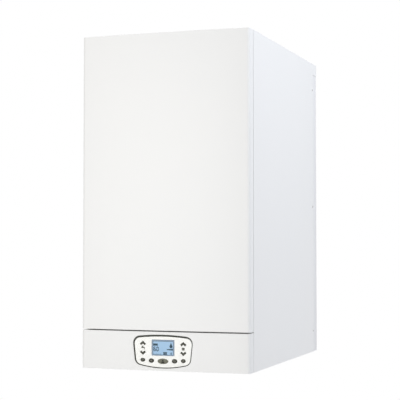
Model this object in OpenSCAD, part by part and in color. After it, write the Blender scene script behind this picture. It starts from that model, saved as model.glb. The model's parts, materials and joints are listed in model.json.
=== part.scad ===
// Wall-hung condensing gas boiler: sheet-steel casing, pull-off front cover, tilting control
// panel with nine keys, and the sealed combustion and water parts behind them.
// X is across the boiler, -Y is towards the room and +Z is up. The origin is the centre of the
// two hanging slots, on the wall.

/* [Casing] */
// Width of the casing
case_w = 450; // [440:1:480]
// Height of the casing
case_h = 850; // [830:1:900]
// Depth from the wall to the foremost point of the front
case_d = 690; // [680:1:730]
// How far the middle of the front stands out past its sides
bow_rise = 6; // [4:1:10]
// Radius of the front's two upright edges
edge_r = 7; // [5:1:14]
// Thickness of the casing's sheet steel
skin = 1.2; // [0.8:0.1:1.5]
// Thickness of the rear frame's sheet steel
back_t = 1.5; // [1.2:0.1:2]
// How far the front wraps round the sides
return_d = 36; // [32:1:40]
// Gap between the front's rear edges and the side panels
side_gap = 2; // [2:0.5:3]
// Depth of the rear frame that shows behind the side panels
rear_flange_d = 40; // [36:1:60]
// Height of the bottom plate above the casing's lower edge
floor_rise = 30; // [28:1:36]

/* [Wall fixing] */
// Distance from the hanging slots up to the top of the casing
hang_drop = 70; // [60:1:80]
// Distance between the two hanging slots
hang_pitch = 300; // [260:5:330]
// Width of a hanging slot
hang_slot_w = 13; // [11:0.5:14]
// Length of a hanging slot
hang_slot_l = 30; // [24:1:36]

/* [Control panel] */
// Height of the control panel's front
fascia_h = 97; // [95:1:104]
// Gap between the front cover and the control panel
seam = 3; // [2:0.5:4]
// Wall of the moulded control panel
fascia_t = 2.5; // [2.2:0.1:3]
// Width of the display insert across its upper corners
insert_w = 152.4; // [148:0.2:156]
// How far the display insert stands out of the front
insert_proud = 0.8; // [0.4:0.1:1.2]
// Width of the dark seal round the display insert
seal_w = 2.6; // [2:0.1:3]
// Visible width of the display
lcd_w = 61; // [56:1:62]
// Visible height of the display
lcd_h = 40; // [36:1:41]
// Travel of a key
key_travel = 0.8; // [0.6:0.1:1]
// Clearance round a key in its hole
key_gap = 0.3; // [0.2:0.05:0.5]

/* [Flue and air] */
// Bore of the flue and air sockets
socket_d = 110.8; // [110.4:0.1:111.2]
// Height of the sockets above the top of the casing
socket_h = 45; // [40:1:50]
// Distance between the flue and air sockets
socket_pitch = 150; // [148:1:154]
// Distance of the sockets from the wall
socket_y = 85; // [82:1:90]

/* [Heat exchanger] */
// Room between the heat exchanger's shell and the side panels
shell_room = 63.8; // [60:0.2:66]
// Wall of the shell
shell_t = 5; // [4:0.5:6]
// Distance between the turns of the heat exchanger's coil
coil_pitch = 23.5; // [22:0.5:26]
// Outer diameter of the flow and return pipes
water_d = 34; // [32:1:35]
// Outer diameter of the burner
burner_d = 70; // [66:1:72]

/* [Fan] */
// Diameter of the fan wheel
wheel_d = 132; // [126:1:134]
// Number of blades on the fan wheel
blade_n = 18; // [14:1:22]
// Width of the fan wheel
wheel_w = 36; // [32:1:40]

/* [Connections] */
// Outside diameter of the flow and return threads, G 1 1/4
water_thread_d = 41.9; // [41.6:0.1:42.2]
// Outside diameter of the gas thread, G 1
gas_thread_d = 33.2; // [33:0.1:33.5]
// Outside diameter of the condensate spigot
drain_d = 25; // [24:0.5:26]
// How far the connections reach below the casing
stub_drop = 15; // [10:1:20]

/* [Hidden] */
$fn = 64;
eps = 0.01;
touch = 0.3;        // clearance between pieces that seat on each other

// levels of the casing
z_top = hang_drop;
z_bot = hang_drop - case_h;
front_y = -case_d;
return_y = front_y + return_d;
side_y0 = return_y + side_gap;
cover_z0 = z_bot + fascia_h + seam;
in_x = case_w / 2 - skin;
floor_z = z_bot + floor_rise;
stub_z = z_bot - stub_drop;
flange_w = 15;
foot_w = 8;                        // width of the flange at a side panel's lower edge
front_lip = 12;
frame_y = side_y0 + skin;          // front face of the top plate's flange and of the front rail
rail_h = 38;
rear_lap = 15;
rear_ear_h = 33;                   // height of a side panel's ear, which reaches back to the wall
hang_bar_h = 44;

// the bowed front, seen from above: a wide arc with a small arc at each end
bow_r = (pow(case_w / 2, 2) + pow(bow_rise, 2)) / (2 * bow_rise);
edge_cx = case_w / 2 - edge_r;
edge_cy = bow_r - sqrt(pow(bow_r - edge_r, 2) - pow(edge_cx, 2));
bow_a = asin(edge_cx / (bow_r - edge_r));
bow_steps = 24;
edge_steps = 8;

// studs and clips that hold the front cover
stud_x = in_x - 33.8;
stud_r = 3;
ball_r = 4.5;
socket_r = ball_r + touch;
clip_r = 9;
clip_l = 14;
stud_zs = [z_top - 22, cover_z0 + 2 + rail_h / 2];

// control panel: the box hangs on two pins, and all its parts keep their distance from the front
panel_t = fascia_t;
pivot_y = front_y + 130;
pivot_z = z_bot + 16;
pin_r = 4;
pin_play = 0.08;
box_room = 27.8;                   // room between the control box and the side panels
box_w = 2 * (in_x - box_room);
box_wall = 3;
box_rib_pitch = (box_w - 20) / 8;
box_y0 = front_y + 20;
box_y1 = front_y + 105;
box_z0 = z_bot + 5;
box_z1 = z_bot + fascia_h - 5;
ear_r = 9;
panel_screw_x = box_w / 2 - 9;
bracket_t = 2;
bracket_x = box_w / 2 + 1;
bracket_r = 10;
floor_y0 = pivot_y + 20;
floor_lip = 18;

// display insert
insert_top = z_bot + 85.6;
insert_r = 15;
insert_drop = 76.8;                // from the insert's top to the lowest point of its curved foot
insert_taper = 4;                  // its sides lean in by this towards the foot
crown_r = 560;                     // its top edge is a shallow arch
recess_shift = 0.6;                // the recess is set up and to the left, so its seal is wider there
foot_r = 270;
insert_t = 3.6;
pocket_wall = 2;                    // floor and rim of the fascia's pocket that the insert sits in
insert_y = front_y - insert_proud;
insert_back = insert_y + insert_t;
insert_ledge = 4.6;
seal_t = 1.8;
window_sink = 0.8;
lcd_z = z_bot + 57.8;
board_y = front_y + 8;
board_t = 1.6;
board_w = insert_w + 2 * seal_w + 19.2;
board_screw_x = board_w / 2 - 6;
flange_t = 1;
key_proud = 0.8;
key_rim = 1.2;
key_chamfer = 0.5;
arrow_x = 54;
arrow_l = 8.2;                     // length, thickness and slope of a chevron's two limbs
arrow_t = 4.6;
arrow_a = 40;

// the key's place, and the two half sizes of its oval, for the five keys of the lower row
row_keys = [
    [-54, 26.5, 6, 4.6],
    [-31, 25.2, 7, 5.2],
    [0, 24.2, 14, 6.5],
    [31, 25.2, 7, 5.2],
    [54, 26.5, 6, 4.6]
];
arrow_up_z = 67.5;
arrow_down_z = 45;

// heat exchanger, between the front and the wall, and what is fixed to it
shell_r = in_x - shell_room;
shell_z = z_top - shell_r - 60;
shell_y0 = front_y + 160;
shell_y1 = -socket_y - 75;
rim_r = shell_r + 12;
rim_t = 10;
stud_n = 6;
stud_circle = shell_r + 3;
coil_r = shell_r - 62;
coil_half_w = 17;
coil_half_l = 9.5;
coil_y0 = shell_y0 + 50;
coil_turns = floor((shell_y1 - shell_t - 45 - coil_y0) / coil_pitch - 0.25);
coil_y1 = coil_y0 + coil_pitch * (coil_turns + 0.25);
water_r = water_d / 2;
water_wall = 2;
water_bend = water_r + 8;
water_nut_r = 25;
boss_r = water_r + 7;
socket_l = 19.5;                   // how far the coil's leads stay inside the shell's bosses
flue_x = -socket_pitch / 2;
air_x = socket_pitch / 2;
duct_r = socket_d / 2 - 0.4;
duct_t = 1.5;
duct_bend = duct_r + 3;
duct_z = shell_z - 55;
cradle_ys = [coil_y0 + 30, coil_y1 - 50];
cradle_h = 90;
cradle_t = 3;
cradle_drop = 24;
rib_h = 3;
flow_x = -(in_x - water_nut_r - 13);
door_t = 17.5;
hub_t = 8;
hub_r = burner_d / 2 + 17;
door_r = rim_r - 1;
burner_r = burner_d / 2;
burner_flange_r = burner_r + 9;
burner_wall = 1.5;
burner_y1 = shell_y1 - 90;
slot_pitch = 23;
elbow_y = front_y + 90;
elbow_r = burner_r - 1;
elbow_t = 4;
elbow_bend = elbow_r + 2;
elbow_flange = elbow_r + 6;
electrode_r = burner_r + 21;
electrode_a = 20;
electrode_x = electrode_r * cos(electrode_a);
electrode_z = shell_z + electrode_r * sin(electrode_a);
peep_r = coil_r - 8;
peep_x = peep_r * cos(112.5);
peep_z = shell_z + peep_r * sin(112.5);
spark_l = 26;
spark_y = shell_y0 - 40;
spark_z = shell_z - 125;
spark_reach = 46;
vent_y = shell_y0 + 130;
drain_y = shell_y1 - 140;
trap_z0 = floor_z + 30;
trap_z1 = trap_z0 + 160;
trap_r = 34;
union_z = floor_z + 310;

// fan, whose outlet stands under the inlet elbow
volute_r0 = wheel_d / 2 + 12;
volute_r1 = volute_r0 + 22;
outlet_w = 62;
fan_y = elbow_y + volute_r1 - outlet_w / 2;
fan_z = shell_z - 280;
elbow_z0 = fan_z + 112;
outlet_top = elbow_z0 - 16;
fan_half = wheel_w / 2 + 16;
fan_wall = 3;
tongue_a = 120;
shaft_r = 4;
inlet_r = 32;

// gas
valve_x = fan_half + 48;
valve_y = fan_y + 94;
mixer_l = 96;
gas_r = 14;
gas_nut_r = 21;

gland_inset = 40;
glands = [[-90, floor_y0 + gland_inset], [-50, floor_y0 + gland_inset]];
gland_bore = 5;

// Shared shapes

function arc(cx, cy, r, a0, a1, n) =
    [for (i = [0:n]) let (a = a0 + (a1 - a0) * i / n) [cx + r * cos(a), cy + r * sin(a)]];

// outline of the front in plan, set in by t from the outer face and closed at y = back
function front_outline(t, back) = concat(
    [[case_w / 2 - t, back]],
    arc(edge_cx, front_y + edge_cy, edge_r - t, 0, bow_a - 90, edge_steps),
    arc(0, front_y + bow_r, bow_r - t, bow_a - 90, -bow_a - 90, bow_steps),
    arc(-edge_cx, front_y + edge_cy, edge_r - t, -bow_a - 90, -180, edge_steps),
    [[t - case_w / 2, back]]
);

// depth of the bowed front's face at x
function bow_y(x) = front_y + bow_r - sqrt(pow(bow_r, 2) - pow(x, 2));

// outline of the display insert in front view, grown by g
function insert_outline(g) =
    let (
        top_x = insert_w / 2 - insert_r,
        top_a = asin(top_x / (crown_r - insert_r)),
        crown_cz = insert_top - crown_r,
        top_z = crown_cz + (crown_r - insert_r) * cos(top_a),
        low_x = top_x - insert_taper,
        foot_a = asin(low_x / (foot_r - insert_r)),
        foot_cz = insert_top - insert_drop + foot_r,
        low_z = foot_cz - (foot_r - insert_r) * cos(foot_a),
        side_a = atan(insert_taper / (top_z - low_z))
    )
    concat(
        arc(0, crown_cz, crown_r + g, 90 + top_a, 90 - top_a, edge_steps),
        arc(top_x, top_z, insert_r + g, 90 - top_a, -side_a, edge_steps),
        arc(low_x, low_z, insert_r + g, -side_a, foot_a - 90, edge_steps),
        arc(0, foot_cz, foot_r + g, foot_a - 90, -foot_a - 90, edge_steps),
        arc(-low_x, low_z, insert_r + g, -foot_a - 90, side_a - 180, edge_steps),
        arc(-top_x, top_z, insert_r + g, side_a + 180, top_a + 90, edge_steps)
    );

function oval(cx, cz, a, b, n = 32) =
    [for (i = [0:n - 1]) [cx + a * cos(360 * i / n), cz + b * sin(360 * i / n)]];

// a chevron that points up (s = 1) or down (s = -1): two slanted bars, grown by g
module chevron(cx, cz, s, g) {
    for (side = [0, 1]) translate([cx, cz + s * arrow_l * sin(arrow_a) / 2]) mirror([side, 0])
        rotate(-s * arrow_a) translate([-arrow_t / 2 - g, -arrow_t / 2 - g])
            square([arrow_l + arrow_t / 2 + 2 * g, arrow_t + 2 * g]);
}

// outline of the recess that the insert and its seal sit in, grown by g
module recess_outline(g) {
    translate([-recess_shift, recess_shift]) polygon(insert_outline(seal_w + g));
}

// a flat plate drawn in front view, from y0 back to y1
module facing(y0, y1) {
    translate([0, y1, 0]) rotate([90, 0, 0]) linear_extrude(y1 - y0) children();
}

// a shape drawn in side view, from x0 to x1
module sideways(x0, x1) {
    translate([x0, 0, 0]) rotate([90, 0, 90]) linear_extrude(x1 - x0) children();
}

module along_y(x, z, y0, y1, r) {
    translate([x, y0, z]) rotate([-90, 0, 0]) cylinder(h = y1 - y0, r = r);
}

module along_x(y, z, x0, x1, r) {
    translate([x0, y, z]) rotate([0, 90, 0]) cylinder(h = x1 - x0, r = r);
}

module along_z(x, y, z0, z1, r) {
    translate([x, y, z0]) cylinder(h = z1 - z0, r = r);
}

module block(x0, x1, y0, y1, z0, z1) {
    translate([x0, y0, z0]) cube([x1 - x0, y1 - y0, z1 - z0]);
}

module hex_along_z(x, y, z0, z1, r) {
    translate([x, y, z0]) cylinder(h = z1 - z0, r = r, $fn = 6);
}

module stadium(w, h) {
    translate([-(w - h) / 2, 0]) circle(d = h);
    translate([(w - h) / 2, 0]) circle(d = h);
    square([w - h, h], center = true);
}

// a round bar that follows straight legs with rounded corners
function unit(v) = v / norm(v);
module pipe_run(p, r, bend) {
    n = len(p) - 1;
    d = [for (i = [0:n - 1]) unit(p[i + 1] - p[i])];
    turn = [for (i = [0:n]) i == 0 || i == n ? 0 : acos(d[i - 1] * d[i])];
    cut = [for (i = [0:n]) bend * tan(turn[i] / 2)];
    for (i = [0:n - 1]) {
        a = p[i] + d[i] * cut[i];
        b = p[i + 1] - d[i] * cut[i + 1];
        z = d[i];
        x = unit(abs(z[2]) > 0.9 ? cross([0, 1, 0], z) : cross([0, 0, 1], z));
        y = cross(z, x);
        multmatrix([
            [x[0], y[0], z[0], a[0]], [x[1], y[1], z[1], a[1]],
            [x[2], y[2], z[2], a[2]], [0, 0, 0, 1]
        ]) cylinder(h = norm(b - a), r = r);
    }
    if (n > 1) for (i = [1:n - 1]) {
        start = p[i] - d[i - 1] * cut[i];
        u = unit(d[i] - (d[i] * d[i - 1]) * d[i - 1]);
        c = start + bend * u;
        w = cross(-u, d[i - 1]);
        multmatrix([
            [-u[0], d[i - 1][0], w[0], c[0]], [-u[1], d[i - 1][1], w[1], c[1]],
            [-u[2], d[i - 1][2], w[2], c[2]], [0, 0, 0, 1]
        ]) rotate_extrude(angle = turn[i]) translate([bend, 0]) circle(r = r);
    }
}

// Casing

// screws of the casing: in the sockets' flanges, and sunk in the side panels
screw_r = 1.9;
screw_head_r = 3.8;
screw_head_h = 2;
collar_flange_r = socket_d / 2 + 16.6;
collar_screw_r = socket_d / 2 + 11;
side_screw_y = -rear_flange_d - rear_lap / 2;
side_screw_zs = [-9, (z_top + z_bot) / 2, z_bot + 61];

// beads pressed into the rear frame, which stiffen it
bead_w = 20;
bead_h = 1.2;
bead_xs = [-hang_pitch / 2, 0, hang_pitch / 2];
bead_z0 = z_bot + 120;
bead_z1 = -hang_bar_h / 2 - 20;

module rear_frame() {
    color("gainsboro") difference() {
        union() {
            block(-in_x, in_x, -back_t, 0, z_bot, z_top - 2 * skin);
            for (s = [-1, 1]) block(
                s < 0 ? -in_x : in_x - back_t, s < 0 ? back_t - in_x : in_x,
                -rear_flange_d - rear_lap, 0, z_bot, z_top - 2 * skin
            );
            for (x = bead_xs) block(x - bead_w / 2, x + bead_w / 2,
                -back_t - bead_h, -back_t + 0.1, bead_z0, bead_z1);
        }
        for (x = bead_xs) block(x - bead_w / 2 + back_t, x + bead_w / 2 - back_t,
            -bead_h, 1, bead_z0 + back_t, bead_z1 - back_t);
        for (s = [-1, 1]) facing(-back_t - 1, 1) translate([s * hang_pitch / 2, 0])
            stadium(hang_slot_l, hang_slot_w);
        for (s = [-1, 1]) along_y(s * hang_pitch / 2, z_bot + 70, -back_t - 1, 1, 5);
        for (z = side_screw_zs) for (s = [0, 1]) mirror([s, 0, 0])
            along_x(side_screw_y, z, in_x - back_t - 1, in_x + 1, screw_head_r - skin + 0.4);
    }
}

module hanging_bar() {
    color("silver") facing(-back_t - 3, -back_t) difference() {
        square([hang_pitch + 80, hang_bar_h], center = true);
        for (s = [-1, 1]) translate([s * hang_pitch / 2, 0]) stadium(hang_slot_l, hang_slot_w);
    }
}

module top_plate() {
    color("whitesmoke") difference() {
        union() {
            block(-in_x, in_x, frame_y, 0, z_top - 2 * skin, z_top - skin);
            block(-in_x, in_x, frame_y, frame_y + skin, z_top - rail_h - 2, z_top - 2 * skin);
        }
        for (x = [flue_x, air_x]) {
            along_z(x, -socket_y, z_top - 5, z_top + 1, socket_d / 2 - touch);
            for (a = [45:90:315]) along_z(
                x + collar_screw_r * cos(a), -socket_y + collar_screw_r * sin(a),
                z_top - 5, z_top + 1, screw_r + touch
            );
        }
        for (s = [-1, 1]) along_y(s * stud_x, stud_zs[0], frame_y - 1, frame_y + 5, socket_r + 1);
    }
}

// side panel for the right; the left one is its mirror image
module side_panel() {
    difference() {
        union() {
            block(in_x, case_w / 2, side_y0, -rear_flange_d, z_bot, z_top);
            block(in_x, case_w / 2, -rear_flange_d - 1, 0, z_top - rear_ear_h, z_top);
        }
        for (z = side_screw_zs) translate([case_w / 2 + eps, side_screw_y, z]) rotate([0, -90, 0])
            cylinder(h = skin + 2 * eps, r1 = screw_head_r + touch, r2 = screw_head_r + touch - skin);
    }
    block(in_x - front_lip, in_x, side_y0, frame_y, z_bot, z_top);
    block(in_x - flange_w, in_x, side_y0, -rear_flange_d, z_top - skin, z_top);
    block(in_x - foot_w, in_x, side_y0, -rear_flange_d - rear_lap - 1, z_bot, z_bot + skin);
}

module right_side_panel() {
    color("white") side_panel();
}

module left_side_panel() {
    color("white") mirror([1, 0, 0]) side_panel();
}

module bottom_plate() {
    half = in_x - back_t;
    color("gainsboro") difference() {
        union() {
            block(-half, half, floor_y0, -back_t, floor_z, floor_z + skin);
            block(-half, half, floor_y0, floor_y0 + skin, floor_z, floor_z + floor_lip);
            for (s = [-1, 1]) block(
                s < 0 ? -half : half - skin, s < 0 ? skin - half : half,
                floor_y0, -back_t, floor_z, floor_z + flange_w
            );
        }
        along_z(flow_x, coil_y0, floor_z - 1, floor_z + 5, water_thread_d / 2 + 1);
        along_z(coil_r, coil_y1, floor_z - 1, floor_z + 5, water_thread_d / 2 + 1);
        along_z(valve_x, valve_y, floor_z - 1, floor_z + 5, gas_thread_d / 2 + 1);
        along_z(0, drain_y, floor_z - 1, floor_z + 5, drain_d / 2 + 4);
        for (g = glands) along_z(g[0], g[1], floor_z - 1, floor_z + 5, gland_bore + 3.3);
    }
}

// channel across the casing just above the control panel
module front_rail() {
    z0 = cover_z0 + 2;
    color("gainsboro") difference() {
        block(-in_x, in_x, frame_y, frame_y + 22, z0, z0 + rail_h);
        block(-in_x - 1, in_x + 1, frame_y + skin, frame_y + 23, z0 + skin, z0 + rail_h - skin);
        for (s = [-1, 1]) along_y(s * stud_x, stud_zs[1], frame_y - 1, frame_y + 5, socket_r + 1);
    }
}

module panel_brackets() {
    color("silver") for (s = [0, 1]) mirror([s, 0, 0]) difference() {
        union() {
            sideways(bracket_x, bracket_x + bracket_t) {
                translate([pivot_y, pivot_z]) circle(r = bracket_r);
                translate([pivot_y, pivot_z - bracket_r]) square([floor_y0 - pivot_y, 2 * bracket_r]);
                translate([floor_y0 - 12, pivot_z - bracket_r])
                    square([12, floor_z + 16 - pivot_z + bracket_r]);
            }
            block(bracket_x - 16, bracket_x + bracket_t, floor_y0 - bracket_t, floor_y0,
                floor_z + 2, floor_z + 16);
        }
        along_x(pivot_y, pivot_z, bracket_x - 1, bracket_x + bracket_t + 1, pin_r + pin_play - 0.03);
    }
}

module hinge_pins() {
    color("dimgray") for (s = [0, 1]) mirror([s, 0, 0]) {
        along_x(pivot_y, pivot_z, box_w / 2 - box_wall - 2, bracket_x + bracket_t + 2, pin_r);
        along_x(pivot_y, pivot_z, bracket_x + bracket_t, bracket_x + bracket_t + 2, pin_r + 2.5);
    }
}

module cover_clips() {
    y0 = frame_y + skin;
    color("darkslategray") for (s = [-1, 1], z = stud_zs) difference() {
        union() {
            along_y(s * stud_x, z, y0, y0 + clip_l, clip_r);
            along_y(s * stud_x, z, y0, y0 + 2, clip_r + 3);
        }
        along_y(s * stud_x, z, y0 - 1, y0 + clip_l + 1, socket_r);
        for (a = [0, 90]) translate([s * stud_x, y0 + 4, z]) rotate([0, a, 0])
            translate([-1, 0, -clip_r - 1]) cube([2, clip_l, 2 * clip_r + 2]);
    }
}

// two saddles that carry the shell from side to side
module exchanger_cradles() {
    color("silver") for (y = cradle_ys) difference() {
        union() {
            facing(y, y + cradle_t) translate([-in_x, shell_z - shell_r - cradle_drop])
                square([2 * in_x, cradle_h]);
            for (s = [-1, 1]) block(
                s < 0 ? -in_x : in_x - cradle_t, s < 0 ? cradle_t - in_x : in_x,
                y, y + 25, shell_z - shell_r - cradle_drop, shell_z - shell_r - cradle_drop + cradle_h
            );
            block(-in_x, in_x, y, y + 12, shell_z - shell_r - cradle_drop,
                shell_z - shell_r - cradle_drop + cradle_t);
        }
        along_y(0, shell_z, y - 1, y + cradle_t + 1, shell_r + touch);
        for (s = [-1, 1]) along_y(s * (in_x - 30), shell_z - shell_r + 12,
            y - 1, y + cradle_t + 1, 13);
    }
}

module casing_screws() {
    color("lightgray") {
        for (x = [flue_x, air_x], a = [45:90:315])
            translate([x + collar_screw_r * cos(a), -socket_y + collar_screw_r * sin(a), z_top - skin])
            union() {
                translate([0, 0, collar_t]) cylinder(h = screw_head_h, r = screw_head_r);
                translate([0, 0, -8]) cylinder(h = 9 + collar_t, r = screw_r);
            }
        for (z = side_screw_zs, s = [0, 1]) mirror([s, 0, 0])
            translate([case_w / 2, side_screw_y, z]) rotate([0, -90, 0]) union() {
                cylinder(h = screw_head_r - screw_r, r1 = screw_head_r, r2 = screw_r);
                cylinder(h = 10, r = screw_r);
            }
    }
}

// Front cover

module front_cover() {
    lip = 8;
    z1 = z_top;
    tongue = 14;
    color("white") union() {
        difference() {
            translate([0, 0, cover_z0]) linear_extrude(z1 - cover_z0)
                polygon(front_outline(0, return_y));
            translate([0, 0, cover_z0 + skin]) linear_extrude(z1 - cover_z0 - 2 * skin)
                polygon(front_outline(skin, return_y - skin));
            block(-case_w / 2 + lip, case_w / 2 - lip, return_y - skin - 1, return_y + 1,
                cover_z0 + lip, z1 - lip);
        }
        block(-in_x + flange_w + 3, in_x - flange_w - 3, return_y - skin, return_y + tongue,
            z1 - skin, z1);
    }
}

module cover_insulation() {
    t0 = skin + touch;
    t1 = t0 + 10;
    a = asin((in_x - 58.8) / bow_r);
    color("dimgray") translate([0, 0, cover_z0 + 50]) linear_extrude(z_top - cover_z0 - 100)
        polygon(concat(
            arc(0, front_y + bow_r, bow_r - t0, -90 - a, -90 + a, bow_steps),
            arc(0, front_y + bow_r, bow_r - t1, -90 + a, -90 - a, bow_steps)
        ));
}

module cover_studs() {
    y0 = bow_y(stud_x + 8) + skin + 0.1;
    y1 = frame_y + skin + 7;
    color("silver") for (s = [-1, 1], z = stud_zs) union() {
        along_y(s * stud_x, z, y0, y0 + 2, 8);
        along_y(s * stud_x, z, y0, y1, stud_r);
        translate([s * stud_x, y1, z]) sphere(r = ball_r);
    }
}

// Control panel

module fascia() {
    z1 = z_bot + fascia_h;
    color("white") difference() {
        union() {
            facing(front_y + 1, insert_back + pocket_wall) recess_outline(pocket_wall);
            difference() {
                translate([0, 0, z_bot]) linear_extrude(fascia_h)
                    polygon(front_outline(0, return_y));
                translate([0, 0, z_bot + panel_t]) linear_extrude(fascia_h - 2 * panel_t)
                    polygon(front_outline(panel_t, return_y + 1));
            }
            for (s = [-1, 1], z = [z_bot + 14, z1 - 14])
                along_y(s * panel_screw_x, z, bow_y(panel_screw_x + 4) + 1, box_y0, 4);
            for (s = [-1, 1], z = [z_bot + 22, z1 - 17])
                along_y(s * board_screw_x, z, bow_y(board_screw_x + 4) + 1, board_y, 3.5);
        }
        facing(front_y - 2, insert_back) recess_outline(0);
        facing(front_y - 2, board_y) polygon(insert_outline(-insert_ledge));
    }
}

module insert_seal() {
    color("darkslategray") facing(insert_back - seal_t, insert_back) difference() {
        recess_outline(-0.1);
        polygon(insert_outline(0.1));
    }
}

module display_insert() {
    color("ivory") difference() {
        facing(insert_y, insert_back) polygon(insert_outline(0));
        facing(insert_y - 1, insert_back + 1) {
            translate([-lcd_w / 2, lcd_z - lcd_h / 2]) square([lcd_w, lcd_h]);
            for (k = row_keys) polygon(oval(k[0], z_bot + k[1], k[2] + key_gap, k[3] + key_gap));
            for (s = [-1, 1]) {
                chevron(s * arrow_x, z_bot + arrow_up_z, 1, key_gap);
                chevron(s * arrow_x, z_bot + arrow_down_z, -1, key_gap);
            }
        }
    }
}

module display_window() {
    color("lightblue") facing(insert_y + window_sink, insert_back - 0.1)
        translate([-lcd_w / 2 + 0.1, lcd_z - lcd_h / 2 + 0.1]) square([lcd_w - 0.2, lcd_h - 0.2]);
}

module lcd_module() {
    color("steelblue") union() {
        block(-lcd_w / 2 - 1.5, lcd_w / 2 + 1.5, insert_back + 0.1, board_y - 2.4,
            lcd_z - lcd_h / 2 - 1.4, lcd_z + lcd_h / 2 + 1.4);
        block(-lcd_w / 2 + 1.5, lcd_w / 2 - 1.5, board_y - 2.5, board_y,
            lcd_z - lcd_h / 2 + 2, lcd_z + lcd_h / 2 - 2);
    }
}

// a switch on the display board; its button stands just behind a key that is fully pressed
module key_switch(x, z) {
    y = key_back + flange_t + key_travel + 0.1;
    block(x - 3, x + 3, y + 0.7, board_y + 0.1, z - 3, z + 3);
    along_y(x, z, y, board_y, 1.6);
}

module display_board() {
    color("seagreen") difference() {
        union() {
            block(-board_w / 2, board_w / 2, board_y, board_y + board_t, z_bot + 16, insert_top);
            for (k = row_keys) key_switch(k[0], z_bot + k[1]);
            for (s = [-1, 1], z = [arrow_up_z, arrow_down_z]) key_switch(s * arrow_x, z_bot + z);
            block(-20, 20, board_y + board_t, board_y + 8, z_bot + 24, z_bot + 32);
        }
        for (s = [-1, 1], z = [z_bot + 22, z_bot + fascia_h - 17])
            along_y(s * board_screw_x, z, board_y - 1, board_y + 5, 1.5);
    }
}

module control_box() {
    hw = box_w / 2;
    color("gray") difference() {
        union() {
            block(-hw, hw, box_y0, box_y1, box_z0, box_z1);
            for (x = [-4:4]) block(x * box_rib_pitch - 1, x * box_rib_pitch + 1,
                box_y0, box_y1, box_z0 - 1.2, box_z0 + 1);
            for (s = [0, 1]) mirror([s, 0, 0]) sideways(hw - box_wall, hw) {
                translate([pivot_y, pivot_z]) circle(r = ear_r);
                translate([box_y1 - 5, pivot_z - ear_r]) square([pivot_y - box_y1 + 5, 2 * ear_r]);
            }
        }
        block(box_wall - hw, hw - box_wall, box_y0 + 2, box_y1 + 1,
            box_z0 + box_wall, box_z1 - box_wall);
        block(-22, 22, box_y0 - 1, box_y0 + 3, z_bot + 20, z_bot + 36);
        for (s = [-1, 1], z = [z_bot + 14, z_bot + fascia_h - 14])
            along_y(s * panel_screw_x, z, box_y0 - 1, box_y0 + 3, 2);
        along_x(pivot_y, pivot_z, -hw - 1, hw + 1, pin_r + pin_play);
    }
}

module control_box_lid() {
    hw = box_w / 2;
    color("dimgray") difference() {
        union() {
            block(-hw, hw, box_y1, box_y1 + 2, pivot_z + 10, box_z1);
            block(box_wall - hw, hw - box_wall, box_y1, box_y1 + 2, box_z0, pivot_z + 11);
            block(-hw + box_wall + 0.3, hw - box_wall - 0.3, box_y1 - 6, box_y1,
                box_z1 - box_wall - 2.3, box_z1 - box_wall - 0.3);
        }
        for (x = [46 - box_w / 2:12:box_w / 2 - 46]) block(x - 3, x + 3, box_y1 - 1, box_y1 + 3,
            box_z1 - 34, box_z1 - 14);
    }
}

module main_board() {
    y0 = box_y0 + 10;
    z0 = box_z0 + 8;
    color("seagreen") union() {
        block(46 - box_w / 2, box_w / 2 - 46, y0, y0 + board_t, z0, box_z1 - 8);
        for (s = [-1, 1], z = [z0 + 6, box_z1 - 14])
            along_y(s * (box_w / 2 - 54), z, box_y0 + 2, y0 + 1, 3);
        block(-130, -84, y0 + 1, y0 + 38, z0 + 14, z0 + 56);
        for (i = [0:3]) block(-60 + 24 * i, -42 + 24 * i, y0 + 1, y0 + 17, z0 + 30, z0 + 58);
        for (i = [0:2]) along_y(60 + 22 * i, z0 + 44, y0 + 1, y0 + 24, 8);
        block(110, 138, y0 + 1, y0 + 12, z0 + 14, z0 + 30);
    }
}

module terminal_block() {
    y0 = box_y0 + 10 + board_t;
    z0 = box_z0 + 9;
    color("green") difference() {
        block(-60, 96, y0, y0 + 16, z0, z0 + 12);
        for (i = [0:12]) along_y(-54 + 12 * i, z0 + 6, y0 + 9, y0 + 17, 2.4);
    }
}

// the depths of a key's three layers: its chamfered face, its body and the rim that keeps it in
key_front = insert_y - key_proud;
key_body = key_front + key_chamfer;
key_back = insert_back + 0.2;

module row_key(i) {
    k = row_keys[i];
    z = z_bot + k[1];
    color("dimgray") union() {
        facing(key_front, key_body) polygon(oval(k[0], z, k[2] - key_chamfer, k[3] - key_chamfer));
        facing(key_body, key_back + touch) polygon(oval(k[0], z, k[2], k[3]));
        facing(key_back, key_back + flange_t) polygon(oval(k[0], z, k[2] + key_rim, k[3] + key_rim));
    }
}

module arrow_key(s, z, up) {
    color("dimgray") union() {
        facing(key_front, key_body) chevron(s * arrow_x, z_bot + z, up, -key_chamfer);
        facing(key_body, key_back + touch) chevron(s * arrow_x, z_bot + z, up, 0);
        facing(key_back, key_back + flange_t) chevron(s * arrow_x, z_bot + z, up, key_rim);
    }
}

// Flue and air

collar_t = 2;
collar_wall = 5;
shoulder = 5;

module socket(x) {
    r = socket_d / 2;
    translate([x, -socket_y, 0]) difference() {
        union() {
            along_z(0, 0, z_top - skin, z_top - skin + collar_t, collar_flange_r);
            along_z(0, 0, z_top - skin, z_top + socket_h, r + collar_wall);
            along_z(0, 0, z_top + socket_h - 14, z_top + socket_h, r + collar_wall + 3);
        }
        along_z(0, 0, z_top, z_top + socket_h + 1, r);
        along_z(0, 0, z_top - 5, z_top + 1, r - shoulder);
        along_z(0, 0, z_top + socket_h - 10, z_top + socket_h - 4, r + 4);
        for (a = [45:90:315]) along_z(collar_screw_r * cos(a), collar_screw_r * sin(a),
            z_top - 5, z_top + 5, screw_r + 0.1);
    }
}

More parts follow.
